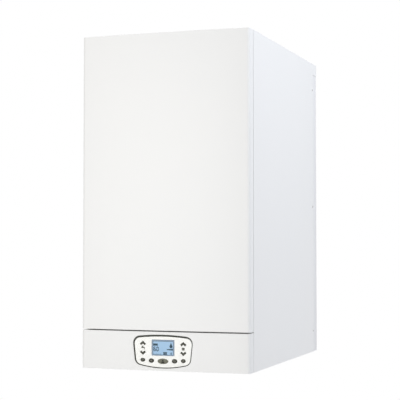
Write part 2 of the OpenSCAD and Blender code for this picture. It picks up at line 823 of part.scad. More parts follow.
module flue_collar() {
    color("darkgray") difference() {
        union() {
            socket(flue_x);
            along_z(flue_x, -socket_y, z_top - 40, z_top, duct_r - duct_t - touch);
            translate([flue_x, -socket_y, z_top + 22]) rotate([90, 0, 0])
                cylinder(h = socket_d / 2 + collar_wall + 9, r = 7);
        }
        along_z(flue_x, -socket_y, z_top - 41, z_top + 1, socket_d / 2 - shoulder);
        along_z(flue_x, -socket_y, z_top, z_top + socket_h + 1, socket_d / 2);
    }
}

module air_collar() {
    color("darkgray") socket(air_x);
}

module flue_seal() {
    z0 = z_top + socket_h - 9.9;
    color("firebrick") for (x = [flue_x, air_x]) translate([x, -socket_y, z0]) difference() {
        cylinder(h = 5.8, r = socket_d / 2 + 3.9);
        translate([0, 0, -1]) cylinder(h = 8, r = socket_d / 2 + 0.1);
    }
}

module flue_duct() {
    path = [
        [flue_x, shell_y1 + 2, duct_z], [flue_x, -socket_y, duct_z],
        [flue_x, -socket_y, z_top - 8]
    ];
    color("silver") difference() {
        pipe_run(path, duct_r, duct_bend);
        pipe_run([path[0] - [0, 1, 0], path[1], path[2] + [0, 0, 1]], duct_r - duct_t, duct_bend);
    }
}

// Heat exchanger

module exchanger_shell() {
    color("darkgray") difference() {
        union() {
            along_y(0, shell_z, shell_y0, shell_y1, shell_r);
            along_y(0, shell_z, shell_y0, shell_y0 + rim_t, rim_r);
            for (y = [cradle_ys[0] - 26, cradle_ys[0] + 20, cradle_ys[1] - 26, cradle_ys[1] + 20])
                along_y(0, shell_z, y, y + 6, shell_r + rib_h);
            for (a = [0:30:330]) translate([0, shell_y1 - 1, shell_z]) rotate([0, a, 0])
                translate([shell_r - 46, 0, -3]) cube([44, 2.5, 6]);
            along_y(flue_x, duct_z, shell_y1 - 1, shell_y1 + 16, duct_r - duct_t - touch);
            along_x(coil_y0, shell_z + coil_r, -shell_r, 0, boss_r);
            along_z(coil_r, coil_y1, shell_z - shell_r, shell_z, boss_r);
            along_z(0, drain_y, shell_z - shell_r - 25, shell_z, 14);
            along_z(0, vent_y, shell_z, shell_z + shell_r + 4, 13);
            for (i = [0:stud_n - 1]) let (a = 30 + 360 * i / stud_n)
                along_y(stud_circle * cos(a), shell_z + stud_circle * sin(a),
                    shell_y0 - door_t - 14, shell_y0 + 1, 4);
        }
        along_y(0, shell_z, shell_y0 - 1, shell_y1 - shell_t, shell_r - shell_t);
        along_y(flue_x, duct_z, shell_y1 - shell_t - 1, shell_y1 + 17, duct_r - duct_t - 3);
        along_x(coil_y0, shell_z + coil_r, -shell_r - 1, 0, water_r + 0.4);
        along_z(coil_r, coil_y1, shell_z - shell_r - 1, shell_z, water_r + 0.4);
        along_z(0, drain_y, shell_z - shell_r - 26, shell_z, 11);
        along_z(0, vent_y, shell_z, shell_z + shell_r + 5, 5);
    }
}

// one unbroken flat tube, wound clockwise from the flow lead at the front to the return lead
coil_ring_n = 20;
coil_total = 90 + 360 * coil_turns;
coil_gap = coil_pitch - 2 * coil_half_l;
echo(str("least gap between the coil's turns, mm: ", coil_gap));

function coil_ring(centre, out, side) = [
    for (k = [0:7]) let (a = 45 * k + 22.5)
        centre + coil_half_w * cos(a) * out + coil_half_l * sin(a) * side
];

function coil_rings() =
    let (
        steps = ceil(coil_total / 360 * coil_ring_n),
        side = [0, 1, 0],
        top = [0, coil_y0, shell_z + coil_r],
        last = [coil_r, coil_y1, shell_z]
    )
    concat(
        [coil_ring(top + [socket_l + 0.5 - shell_r, 0, 0], [0, 0, 1], side)],
        [coil_ring(top + [-40, 0, 0], [0, 0, 1], side)],
        [for (i = [0:steps]) let (
            t = i / steps, a = 90 - coil_total * t,
            y = coil_y0 + (coil_y1 - coil_y0) * t
        ) coil_ring([coil_r * cos(a), y, shell_z + coil_r * sin(a)], [cos(a), 0, sin(a)], side)],
        [coil_ring(last + [0, 0, -40], [1, 0, 0], side)],
        [coil_ring(last + [0, 0, socket_l + 0.5 - shell_r], [1, 0, 0], side)]
    );

module tube_from_rings(rings) {
    m = len(rings[0]);
    n = len(rings);
    points = [for (ring = rings) for (p = ring) p];
    sides = [for (i = [0:n - 2], k = [0:m - 1]) let (j = (k + 1) % m)
        each [[i * m + k, i * m + j, (i + 1) * m + j], [i * m + k, (i + 1) * m + j, (i + 1) * m + k]]];
    first = [for (k = [1:m - 2]) [0, k + 1, k]];
    last = [for (k = [1:m - 2]) [(n - 1) * m, (n - 1) * m + k, (n - 1) * m + k + 1]];
    polyhedron(points = points, faces = concat(sides, first, last));
}

module exchanger_coil() {
    color("silver") tube_from_rings(coil_rings());
}

module burner() {
    y0 = shell_y0 - door_t - hub_t;
    slot_rows = floor((burner_y1 - coil_y0 - 20) / slot_pitch);
    slot_n = 12;
    color("silver") difference() {
        union() {
            along_y(0, shell_z, y0 - 2, burner_y1, burner_r);
            along_y(0, shell_z, y0 - 2, y0, burner_flange_r);
        }
        along_y(0, shell_z, y0 - 3, burner_y1 - 2, burner_r - burner_wall);
        for (j = [0:slot_rows - 1], i = [0:slot_n / 2 - 1])
            translate([0, coil_y0 + 10 + slot_pitch * j, shell_z]) rotate([0, 360 * i / slot_n, 0])
                cube([2 * burner_r + 4, slot_pitch - 8, 2], center = true);
    }
}

module burner_door() {
    y0 = shell_y0 - door_t;
    color("darkgray") difference() {
        union() {
            along_y(0, shell_z, y0, shell_y0 - touch, door_r);
            along_y(0, shell_z, y0 - hub_t, y0 + 1, hub_r);
            for (a = [0:45:315]) translate([0, y0 - 4, shell_z]) rotate([0, a, 0])
                translate([hub_r - 2, 0, -3]) cube([stud_circle - hub_r - 22, 5, 6]);
            difference() {
                along_y(0, shell_z, y0 - 4, y0 + 1, stud_circle - 16);
                along_y(0, shell_z, y0 - 5, y0, stud_circle - 24);
            }
        }
        along_y(0, shell_z, y0 - hub_t - 1, shell_y0 + 1, burner_r + 0.5);
        for (i = [0:stud_n - 1]) let (a = 30 + 360 * i / stud_n)
            along_y(stud_circle * cos(a), shell_z + stud_circle * sin(a), y0 - 1, shell_y0 + 1, 4.5);
        for (s = [-1, 1]) along_y(s * electrode_x, electrode_z, y0 - 10, shell_y0 + 1, 5);
        along_y(peep_x, peep_z, y0 - 1, shell_y0 + 1, 8);
    }
}

module door_insulation() {
    y0 = shell_y0 - touch;
    color("ivory") difference() {
        union() {
            along_y(0, shell_z, y0, y0 + 15, shell_r - shell_t - 3);
            along_y(0, shell_z, y0, coil_y0 - coil_half_l - 6, coil_r - coil_half_w - 5);
        }
        along_y(0, shell_z, y0 - 1, coil_y0, burner_r + 0.5);
        for (s = [-1, 1]) along_y(s * electrode_x, electrode_z, y0 - 1, coil_y0, 5);
        along_y(peep_x, peep_z, y0 - 1, coil_y0, 8);
    }
}

module door_nuts() {
    y1 = shell_y0 - door_t;
    color("goldenrod") for (i = [0:stud_n - 1]) let (a = 30 + 360 * i / stud_n)
        translate([stud_circle * cos(a), y1, shell_z + stud_circle * sin(a)])
        rotate([90, 0, 0]) difference() {
            union() {
                cylinder(h = 1.6, r = 8);
                translate([0, 0, 1.6]) cylinder(h = 6.5, r = 7.5, $fn = 6);
            }
            translate([0, 0, -1]) cylinder(h = 12, r = 4.1);
        }
}

module electrodes() {
    y0 = shell_y0 - door_t;
    color("white") for (s = [-1, 1]) let (x = s * electrode_x) union() {
        along_y(x, electrode_z, y0 - spark_l, coil_y0 - 14, 4);
        along_y(x, electrode_z, y0 - hub_t - 2.1, y0 - hub_t - 0.1, 8.5);
        along_y(x, electrode_z, coil_y0 - 15, coil_y0 + 30, 1.2);
    }
}

module sight_glass() {
    y0 = shell_y0 - door_t;
    color("lightblue") union() {
        along_y(peep_x, peep_z, y0 - 5, y0, 14);
        along_y(peep_x, peep_z, y0 - 1, y0 + 5, 7.8);
    }
}

module inlet_elbow() {
    y1 = shell_y0 - door_t - hub_t - 2;
    path = [[0, y1 - 1, shell_z], [0, elbow_y, shell_z], [0, elbow_y, elbow_z0 - 8]];
    color("lightgray") difference() {
        union() {
            along_y(0, shell_z, y1 - 8, y1, burner_flange_r + 4);
            for (a = [45:90:315]) along_y(
                (burner_flange_r + 1) * cos(a), shell_z + (burner_flange_r + 1) * sin(a), y1 - 12, y1, 4.5
            );
            pipe_run(path, elbow_r, elbow_bend);
            block(-elbow_flange, elbow_flange, elbow_y - elbow_flange, elbow_y + elbow_flange,
                elbow_z0 - 8, elbow_z0);
        }
        pipe_run([path[0] + [0, 2, 0], path[1], path[2] - [0, 0, 1]], elbow_r - elbow_t, elbow_bend);
        for (s = [-1, 1]) along_y(s * electrode_x, electrode_z, y1 - 10, y1 + 1, 10);
    }
}

// Fan

// the volute opens out from its tongue, round the wheel, to the upright outlet
function volute(inset) =
    let (out_y = fan_y - volute_r1 + inset, in_y = fan_y - volute_r1 + outlet_w - inset, n = 40)
    concat(
        [[out_y, outlet_top], [in_y, outlet_top]],
        [for (i = [0:n]) let (
            a = tongue_a - (tongue_a + 180) * i / n,
            r = volute_r0 + (volute_r1 - volute_r0) * i / n - inset
        ) [fan_y + r * cos(a), fan_z + r * sin(a)]]
    );

module fan_housing() {
    color("lightgray") difference() {
        union() {
            sideways(-fan_half, fan_half) polygon(volute(0));
            block(-elbow_flange, elbow_flange, elbow_y - elbow_flange, elbow_y + elbow_flange,
                outlet_top - 2, elbow_z0 - 8);
            for (a = [75, 15, -45, -105, -150]) let (
                r = volute_r0 + (volute_r1 - volute_r0) * (tongue_a - a) / (tongue_a + 180) + 2
            ) along_x(fan_y + r * cos(a), fan_z + r * sin(a), -fan_half, fan_half, 5);
        }
        sideways(fan_wall - fan_half, fan_half - fan_wall) polygon(volute(fan_wall));
        along_z(0, elbow_y, outlet_top - 3, elbow_z0, elbow_r - elbow_t);
        along_x(fan_y, fan_z, fan_half - fan_wall - 1, fan_half + 1, inlet_r);
        along_x(fan_y, fan_z, -fan_half - 1, 0, 10);
    }
}

// a blade curves back from the eye to the rim of the wheel
function blade(r0, r1, lean, t) =
    let (n = 8)
    concat(
        [for (i = [0:n]) let (r = r0 + (r1 - r0) * i / n, a = lean * pow(i / n, 0.8))
            [r * cos(a), r * sin(a)]],
        [for (i = [n:-1:0]) let (r = r0 + (r1 - r0) * i / n, a = lean * pow(i / n, 0.8) + t / r * 57.3)
            [r * cos(a), r * sin(a)]]
    );

module fan_wheel() {
    r = wheel_d / 2;
    x0 = -wheel_w / 2;
    color("dimgray") translate([0, fan_y, fan_z]) union() {
        along_x(0, 0, x0, x0 + 2, r);
        difference() {
            along_x(0, 0, -x0 - 2, -x0, r);
            along_x(0, 0, -x0 - 3, -x0 + 1, r * 0.56);
        }
        for (i = [0:blade_n - 1]) sideways(x0 + 1, -x0 - 1) rotate(360 * i / blade_n)
            polygon(blade(r * 0.5, r - 1, 38, 1.8));
        along_x(0, 0, x0, x0 + 16, 12);
        along_x(0, 0, -fan_half - 24, x0 + 1, shaft_r);
    }
}

module fan_motor() {
    x1 = -fan_half;
    color("darkslategray") difference() {
        union() {
            along_x(fan_y, fan_z, x1 - 4, x1, 50);
            along_x(fan_y, fan_z, x1 - 50, x1 - 3, 42);
            for (i = [0:4]) along_x(fan_y, fan_z, x1 - 12 - 9 * i, x1 - 8 - 9 * i, 45);
            along_x(fan_y, fan_z, x1 - 56, x1 - 49, 30);
            block(x1 - 40, x1 - 14, fan_y - 12, fan_y + 12, fan_z + 40, fan_z + 52);
        }
        along_x(fan_y, fan_z, x1 - 26, x1 + 1, shaft_r + 0.06);
    }
}

// Gas

module gas_mixer() {
    x0 = fan_half;
    color("lightgray") difference() {
        union() {
            translate([x0, fan_y, fan_z]) rotate([0, 90, 0]) rotate_extrude() difference() {
                polygon([
                    [0, 0], [inlet_r + 16, 0], [inlet_r + 16, 6], [inlet_r + 4, 6],
                    [inlet_r + 4, 24], [inlet_r - 2, 36], [inlet_r - 2, 62],
                    [inlet_r + 6, 78], [inlet_r + 14, mixer_l - 4], [inlet_r + 14, mixer_l],
                    [0, mixer_l]
                ]);
                polygon([
                    [0, -1], [inlet_r - 2, -1], [inlet_r - 2, 12], [inlet_r - 12, 34],
                    [inlet_r - 12, 56], [inlet_r + 2, 78], [inlet_r + 10, mixer_l],
                    [inlet_r + 10, mixer_l + 1], [0, mixer_l + 1]
                ]);
            }
            along_y(valve_x, fan_z, fan_y + inlet_r - 8, valve_y - 42.2, 16);
            along_y(valve_x, fan_z, valve_y - 48, valve_y - 42.2, 24);
        }
        along_y(valve_x, fan_z, fan_y, valve_y - 41, 8);
    }
}

module gas_valve() {
    z0 = fan_z - 38;
    z1 = fan_z + 36;
    color("slategray") difference() {
        union() {
            block(valve_x - 30, valve_x + 30, valve_y - 38, valve_y + 40, z0, z1);
            along_y(valve_x, fan_z, valve_y - 42, valve_y - 37, 24);
            for (s = [-1, 1]) along_z(valve_x, valve_y + 2 + s * 19, z1 - 1, z1 + 34, 16);
            block(valve_x + 29, valve_x + 48, valve_y - 20, valve_y + 20, z0 + 12, z1 - 12);
            for (s = [-1, 1]) along_z(valve_x, valve_y + 2 + s * 19, z1 + 33, z1 + 37, 10);
            for (s = [-1, 1]) along_z(valve_x, valve_y + 2 + s * 19, z1 + 12, z1 + 18, 17.5);
            along_z(valve_x, valve_y, z0 - 10, z0 + 1, gas_nut_r);
            along_x(valve_y - 28, z1 - 12, valve_x + 29, valve_x + 36, 6);
            along_x(valve_y - 28, z0 + 12, valve_x + 29, valve_x + 40, 4);
            along_x(valve_y + 29, z0 + 12, valve_x + 29, valve_x + 40, 4);
            along_x(valve_y, fan_z, valve_x + 47, valve_x + 51, 13);
            for (s = [-1, 1]) along_y(valve_x + s * 24, z0 + 8, valve_y + 39, valve_y + 43, 5);
        }
        along_y(valve_x, fan_z, valve_y - 43, valve_y - 20, 8);
        along_z(valve_x, valve_y, z0 - 11, z0 + 20, gas_r + 0.4);
    }
}

// a threaded stub with the nut that clamps it in the bottom plate
module stub(x, y, thread_r, bore, nut_r) {
    difference() {
        union() {
            along_z(x, y, stub_z, floor_z + 6, thread_r);
            hex_along_z(x, y, floor_z + skin + touch, floor_z + 14, nut_r);
            hex_along_z(x, y, floor_z - 7, floor_z - touch, nut_r);
        }
        along_z(x, y, stub_z - 1, floor_z + 15, bore);
    }
}

module gas_pipe() {
    z1 = fan_z - 38;
    color("goldenrod") union() {
        stub(valve_x, valve_y, gas_thread_d / 2, gas_r - 2, gas_nut_r);
        difference() {
            union() {
                along_z(valve_x, valve_y, floor_z + 12, z1 + 12, gas_r);
                hex_along_z(valve_x, valve_y, z1 - 28, z1 - 10 - touch, gas_nut_r);
            }
            along_z(valve_x, valve_y, floor_z + 11, z1 + 13, gas_r - 2);
        }
    }
}

// Water

module flow_pipe() {
    z = shell_z + coil_r;
    path = [[socket_l - shell_r, coil_y0, z], [flow_x, coil_y0, z], [flow_x, coil_y0, floor_z + 12]];
    color("silver") union() {
        stub(flow_x, coil_y0, water_thread_d / 2, water_r - water_wall, water_nut_r + 1);
        difference() {
            union() {
                pipe_run(path, water_r, water_bend);
                hex_along_z(flow_x, coil_y0, union_z, union_z + 24, water_nut_r);
                along_z(flow_x, coil_y0, union_z + 24, union_z + 30, water_nut_r - 5);
            }
            pipe_run([path[0] + [1, 0, 0], path[1], path[2] - [0, 0, 1]], water_r - water_wall, water_bend);
        }
    }
}

module return_pipe() {
    z1 = shell_z - shell_r + socket_l;
    color("silver") union() {
        stub(coil_r, coil_y1, water_thread_d / 2, water_r - water_wall, water_nut_r + 1);
        difference() {
            union() {
                along_z(coil_r, coil_y1, floor_z + 12, z1, water_r);
                hex_along_z(coil_r, coil_y1, union_z, union_z + 24, water_nut_r);
                along_z(coil_r, coil_y1, union_z + 24, union_z + 30, water_nut_r - 5);
            }
            along_z(coil_r, coil_y1, floor_z + 11, z1 + 1, water_r - water_wall);
        }
    }
}

module air_vent() {
    z0 = shell_z + shell_r + 4;
    color("goldenrod") union() {
        along_z(0, vent_y, z0 - 12, z0 + 6, 4.8);
        hex_along_z(0, vent_y, z0 + touch, z0 + 7, 11);
        along_z(0, vent_y, z0 + 6, z0 + 32, 14);
        along_z(0, vent_y, z0 + 31, z0 + 40, 5);
        along_x(vent_y, z0 + 36, 0, 12, 3);
    }
}

module condensate_trap() {
    top = shell_z - shell_r - 25;
    color("whitesmoke") difference() {
        union() {
            along_z(0, drain_y, trap_z0, trap_z1, trap_r);
            along_z(0, drain_y, trap_z1 - 26, trap_z1 - 6, trap_r + 4);
            for (a = [0:30:330]) translate([0, drain_y, trap_z1 - 26]) rotate(a)
                translate([trap_r + 2, -2, 0]) cube([4, 4, 20]);
            along_z(0, drain_y, trap_z1 - 1, top - touch, 13);
            along_z(0, drain_y, top - 16, top + 14, 18);
            along_z(0, drain_y, stub_z, trap_z0 + 1, drain_d / 2);
            along_z(0, drain_y, floor_z - 6, floor_z - 3, drain_d / 2 + 3);
        }
        along_z(0, drain_y, top - touch, top + 15, 14.3);
        along_z(0, drain_y, trap_z1 - 20, top + 1, 10.5);
        along_z(0, drain_y, trap_z0 + 3, trap_z1 - 4, trap_r - 3);
        along_z(0, drain_y, stub_z - 1, trap_z0 + 4, drain_d / 2 - 2.5);
    }
}

// Wiring

module ignition_transformer() {
    color("darkslategray") union() {
        block(in_x - 36, in_x, spark_y - 30, spark_y + 30, spark_z - 25, spark_z + 25);
        block(in_x - 3, in_x, spark_y - 42, spark_y + 42, spark_z - 12, spark_z + 12);
        for (s = [-1, 1]) along_x(spark_y + s * 36, spark_z, in_x - 5, in_x - 2, 3.4);
        block(in_x - 30, in_x - 12, spark_y - 16, spark_y + 16, spark_z - 33, spark_z - 24);
        along_x(spark_y, spark_z, in_x - spark_reach, in_x - 35, 7);
    }
}

lead_r = 3.5;
lead_start = [in_x - spark_reach - 0.1, spark_y, spark_z];
lead_end = [electrode_x, shell_y0 - door_t - spark_l - 0.1, electrode_z];
lead_leave = lead_start - [9, 0, 0];
lead_arrive = lead_end + [7, -18, -1];
lead_steps = 6;
// route of the ignition lead, from the transformer to the electrode, with a sag between them
lead_route = concat(
    [lead_start, lead_leave],
    [
        for (i = [1:lead_steps]) let (t = i / (lead_steps + 1))
            lead_leave + t * (lead_arrive - lead_leave) - sin(180 * t) * [0, 9, 13]
    ],
    [lead_arrive, lead_end + [0, -9, 0], lead_end]
);

// a smooth curve through the route's points
function lead_point(p, t) =
    let (
        i = min(floor(t), len(p) - 2), u = t - i,
        a = p[max(i - 1, 0)], b = p[i], c = p[i + 1], d = p[min(i + 2, len(p) - 1)]
    )
    0.5 * (2 * b + (c - a) * u + (2 * a - 5 * b + 4 * c - d) * u * u + (3 * b - a - 3 * c + d) * pow(u, 3));

function lead_rings(p, per) =
    let (n = (len(p) - 1) * per)
    [for (i = [0:n]) let (
        t = i / per,
        q = lead_point(p, t),
        d = unit(lead_point(p, min(t + 0.05, len(p) - 1)) - lead_point(p, max(t - 0.05, 0))),
        x = unit(cross(d, [0.3, 0.2, 1])),
        y = cross(d, x)
    ) [for (k = [0:7]) q + lead_r * (cos(45 * k) * x + sin(45 * k) * y)]];

module ignition_lead() {
    color("black") tube_from_rings(lead_rings(lead_route, 4));
}

module cable_glands() {
    color("dimgray") for (g = glands) difference() {
        union() {
            along_z(g[0], g[1], floor_z - 12, floor_z + 14, gland_bore + 3);
            hex_along_z(g[0], g[1], floor_z + skin + touch, floor_z + 8, gland_bore + 7);
            hex_along_z(g[0], g[1], floor_z - 8, floor_z - touch, gland_bore + 7);
        }
        along_z(g[0], g[1], floor_z - 13, floor_z + 15, gland_bore);
    }
}

rear_frame();
hanging_bar();
top_plate();
left_side_panel();
right_side_panel();
bottom_plate();
front_rail();
panel_brackets();
hinge_pins();
cover_clips();
exchanger_cradles();
casing_screws();
front_cover();
cover_insulation();
cover_studs();
fascia();
insert_seal();
display_insert();
display_window();
lcd_module();
display_board();
control_box();
control_box_lid();
main_board();
terminal_block();
arrow_key(-1, arrow_up_z, 1);  // left_up_key
arrow_key(-1, arrow_down_z, -1);  // left_down_key
arrow_key(1, arrow_up_z, 1);  // right_up_key
arrow_key(1, arrow_down_z, -1);  // right_down_key
row_key(0);  // reset_key
row_key(1);  // mode_key
row_key(2);  // menu_key
row_key(3);  // info_key
row_key(4);  // power_key
flue_collar();
flue_seal();
air_collar();
flue_duct();
exchanger_shell();
exchanger_coil();
burner();
burner_door();
door_insulation();
door_nuts();
electrodes();
sight_glass();
inlet_elbow();
fan_housing();
fan_wheel();
fan_motor();
gas_mixer();
gas_valve();
gas_pipe();
flow_pipe();
return_pipe();
air_vent();
condensate_trap();
ignition_transformer();
ignition_lead();
cable_glands();
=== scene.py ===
import json
import math

import bmesh
import bpy
from mathutils import Matrix, Vector


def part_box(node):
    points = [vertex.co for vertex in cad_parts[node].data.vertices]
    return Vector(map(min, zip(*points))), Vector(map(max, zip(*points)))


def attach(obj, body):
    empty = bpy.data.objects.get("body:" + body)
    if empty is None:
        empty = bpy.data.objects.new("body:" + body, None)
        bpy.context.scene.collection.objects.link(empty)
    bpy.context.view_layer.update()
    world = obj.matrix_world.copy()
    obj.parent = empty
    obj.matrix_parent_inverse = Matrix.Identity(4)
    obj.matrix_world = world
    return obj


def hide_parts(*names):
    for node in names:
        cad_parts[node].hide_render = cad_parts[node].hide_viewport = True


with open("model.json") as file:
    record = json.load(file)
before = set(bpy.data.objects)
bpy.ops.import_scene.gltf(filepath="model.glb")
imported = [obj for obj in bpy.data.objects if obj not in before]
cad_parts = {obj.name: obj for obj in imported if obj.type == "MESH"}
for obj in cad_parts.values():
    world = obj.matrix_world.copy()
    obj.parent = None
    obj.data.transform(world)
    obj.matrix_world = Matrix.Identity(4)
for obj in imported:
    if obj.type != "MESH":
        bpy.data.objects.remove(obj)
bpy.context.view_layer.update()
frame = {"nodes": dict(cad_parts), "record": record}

mm = 0.001
nodes = frame["nodes"]
slotOf = {row["node"]: row["material_slot"] for row in frame["record"]["subparts"]}

# sizes that the new pieces share with the boiler's frame, in metres
casing = {
    "width": 450 * mm,
    "bottom": -780 * mm,
    "front": -690 * mm,
    "bowRise": 6 * mm,
}


# Nodes

# inputs of a node, each a value or another node's output
def setInputs(tree, node, inputs):
    for key, value in inputs.items():
        socket = node.inputs[key]
        if isinstance(value, bpy.types.NodeSocket):
            tree.links.new(value, socket)
        elif socket.type == "RGBA":
            socket.default_value = (*value[:3], 1)
        else:
            socket.default_value = value


def addNode(tree, kind, inputs=(), **settings):
    node = tree.nodes.new("ShaderNode" + kind)
    for name, value in settings.items():
        setattr(node, name, value)
    setInputs(tree, node, dict(inputs))
    return node


def newFinish(name):
    material = bpy.data.materials.new(name)
    material.use_nodes = True
    return material, material.node_tree, material.node_tree.nodes["Principled BSDF"]


# Camera, light and floor

cameraValues = {
    # place and clip in metres, angles in degrees, lens in millimetres
    "place": (1.075, -3.472, -0.459),
    "azimuth": 19.17,
    "elevation": -2.25,
    "lens": 107.1,
    "shift": (-0.00975, -0.0115),
    "clip": (0.05, 60),
}


def placeCamera(v):
    data = bpy.data.cameras.new("camera")
    data.lens = v["lens"]
    data.shift_x, data.shift_y = v["shift"]
    data.clip_start, data.clip_end = v["clip"]
    camera = bpy.data.objects.new("camera", data)
    bpy.context.scene.collection.objects.link(camera)
    a, e = math.radians(v["azimuth"]), math.radians(v["elevation"])
    back = Vector((math.sin(a) * math.cos(e), -math.cos(a) * math.cos(e), math.sin(e)))
    camera.location = v["place"]
    camera.rotation_mode = "QUATERNION"
    camera.rotation_quaternion = (-back).to_track_quat("-Z", "Y")
    bpy.context.scene.camera = camera


lampValues = {
    # name: place, aim, size, spread in degrees, watts, colour
    "softKey": ((-3.1, -8.0, 0.1), (0, -0.6, -0.35), 3.6, 180, 243, (1, 0.998, 0.965)),
    "sideFill": ((2.25, -0.75, 2.05), (0.2, -0.4, 0.15), 1.2, 130, 35, (0.835, 0.895, 1)),
    "backFill": ((-1.5, 3.0, 1.6), (0, 0, -0.2), 2.4, 180, 40, (1, 1, 1)),
}


def hangLamps(lamps):
    for name, (place, aim, size, spread, watts, colour) in lamps.items():
        data = bpy.data.lights.new(name, "AREA")
        data.size = size
        data.spread = math.radians(spread)
        data.energy = watts
        data.color = colour
        lamp = bpy.data.objects.new(name, data)
        bpy.context.scene.collection.objects.link(lamp)
        lamp.location = place
        lamp.rotation_euler = (Vector(aim) - Vector(place)).to_track_quat("-Z", "Y").to_euler()


worldValues = {"fill": (0.44, 0.432, 0.45), "backdrop": 1.0}


# rays from the camera, and mirrored or refracted ones, see a white room; the rest get its dim fill
def setWorld(v):
    world = bpy.data.worlds.new("paleRoom")
    bpy.context.scene.world = world
    world.use_nodes = True
    tree = world.node_tree
    tree.nodes.clear()
    path = addNode(tree, "LightPath").outputs
    seen = path["Is Camera Ray"]
    for ray in ("Is Glossy Ray", "Is Transmission Ray"):
        seen = addNode(tree, "Math", {0: seen, 1: path[ray]}, operation="MAXIMUM").outputs[0]
    fill = addNode(tree, "Background", {"Color": v["fill"]}).outputs[0]
    white = addNode(tree, "Background", {"Color": (1, 1, 1), "Strength": v["backdrop"]}).outputs[0]
    mix = addNode(tree, "MixShader", {0: seen, 1: fill, 2: white}).outputs[0]
    addNode(tree, "OutputWorld", {"Surface": mix})


floorValues = {
    # a disc that fades to white between the radii solid and open
    "middle": -0.35,
    "height": -1.62,
    "radius": 5.0,
    "sides": 96,
    "solid": 1.2,
    "open": 4.0,
    "colour": (0.80, 0.80, 0.79),
    "rough": 0.85,
}


# a matt finish that fades to white for the camera; a view from below looks through it
def floorFinish(v):
    material, tree, body = newFinish("paleFloor")
    setInputs(tree, body, {"Base Color": v["colour"], "Roughness": v["rough"]})
    coord = addNode(tree, "TexCoord").outputs["Object"]
    centre = {"Vector": coord, "Location": (0, -v["middle"], -v["height"])}
    moved = addNode(tree, "Mapping", centre).outputs[0]
    far = addNode(tree, "VectorMath", {0: moved}, operation="LENGTH").outputs["Value"]
    ends = {"Value": far, "From Min": v["solid"], "From Max": v["open"]}
    fade = addNode(tree, "MapRange", ends, interpolation_type="SMOOTHSTEP").outputs["Result"]
    seen = addNode(tree, "LightPath").outputs["Is Camera Ray"]
    gate = addNode(tree, "Math", {0: fade, 1: seen}, operation="MULTIPLY").outputs[0]
    white = addNode(tree, "Emission", {"Strength": 1.0}).outputs[0]
    mix = addNode(tree, "MixShader", {0: gate, 1: body.outputs[0], 2: white}).outputs[0]
    behind = addNode(tree, "NewGeometry").outputs["Backfacing"]
    clear = addNode(tree, "BsdfTransparent").outputs[0]
    through = addNode(tree, "MixShader", {0: behind, 1: mix, 2: clear}).outputs[0]
    setInputs(tree, tree.nodes["Material Output"], {"Surface": through})
    return material


def layFloor(v):
    bm = bmesh.new()
    bmesh.ops.create_circle(bm, cap_ends=True, segments=v["sides"], radius=v["radius"])
    bmesh.ops.translate(bm, vec=(0, v["middle"], v["height"]), verts=bm.verts)
    mesh = bpy.data.meshes.new("floor")
    bm.to_mesh(mesh)
    bm.free()
    floor = bpy.data.objects.new("floor", mesh)
    bpy.context.scene.collection.objects.link(floor)
    floor.data.materials.append(floorFinish(v))


placeCamera(cameraValues)
hangLamps(lampValues)
setWorld(worldValues)
layFloor(floorValues)
bpy.context.scene.view_settings.view_transform = "Standard"
print("camera, lamps and floor are set")


# Shared effects as node groups

socketKinds = {1: "NodeSocketFloat", 3: "NodeSocketVector", 4: "NodeSocketColor"}


# inputs have a first value each, whose length tells the kind of socket
def newGroup(name, inputs, outputs):
    group = bpy.data.node_groups.new(name, "ShaderNodeTree")
    for label, value in inputs.items():
        kind = socketKinds[len(value) if isinstance(value, tuple) else 1]
        socket = group.interface.new_socket(name=label, in_out="INPUT", socket_type=kind)
        socket.default_value = value
    for label in outputs:
        kind = socketKinds[4 if label == "Color" else 1]
        group.interface.new_socket(name=label, in_out="OUTPUT", socket_type=kind)
    return group, group.nodes.new("NodeGroupInput"), group.nodes.new("NodeGroupOutput")


def objectSpace(group):
    return addNode(group, "TexCoord").outputs["Object"]


def addNoise(group, start, detail, vector):
    inputs = {"Vector": vector, "Scale": start.outputs["Scale"], "Detail": detail}
    return addNode(group, "TexNoise", inputs).outputs["Fac"]


def addRange(group, source, low, high, least=0.0, most=1.0):
    inputs = {"Value": source, "From Min": low, "From Max": high, "To Min": least, "To Max": most}
    return addNode(group, "MapRange", inputs).outputs["Result"]


def mixColours(group, factor, one, other):
    inputs = {"Factor": factor, "A": one, "B": other}
    return addNode(group, "Mix", inputs, data_type="RGBA").outputs["Result"]


# ends a group with its noise as relief, and with a gloss that follows the noise
def endRelief(group, start, end, noise, low, high):
    gloss = addRange(group, noise, low, high, start.outputs["Smooth"], start.outputs["Rough"])
    setInputs(group, end, {"Height": noise, "Roughness": gloss})


effectValues = {
    # detail of the noise, and the part of it that an effect reaches over
    "grain": (3.0, 0.3, 0.7),
    "drift": (4.0, 0.35, 0.68),
    "lines": (4.0, 0.0, 1.0),
    # pointiness of an edge that starts to be rubbed, and of one that is rubbed in full
    "edge": (0.52, 0.62),
    # roughness of the dark and the light zinc flowers
    "zinc": (0.34, 0.52),
}


# fine relief and a matching change of gloss, for coats, castings and mouldings
def makeGrainGroup(detail, low, high):
    first = {"Scale": 900.0, "Smooth": 0.3, "Rough": 0.4}
    group, start, end = newGroup("fineGrain", first, ("Height", "Roughness"))
    noise = addNoise(group, start, detail, objectSpace(group))
    endRelief(group, start, end, noise, low, high)
    return group


# slow drift between two near colours
def makeDriftGroup(detail, low, high):
    first = {"Scale": 6.0, "Main": (0.8, 0.8, 0.8, 1), "Other": (0.7, 0.7, 0.7, 1)}
    group, start, end = newGroup("colourDrift", first, ("Color",))
    noise = addNoise(group, start, detail, objectSpace(group))
    share = addRange(group, noise, low, high)
    colour = mixColours(group, share, start.outputs["Main"], start.outputs["Other"])
    setInputs(group, end, {"Color": colour})
    return group


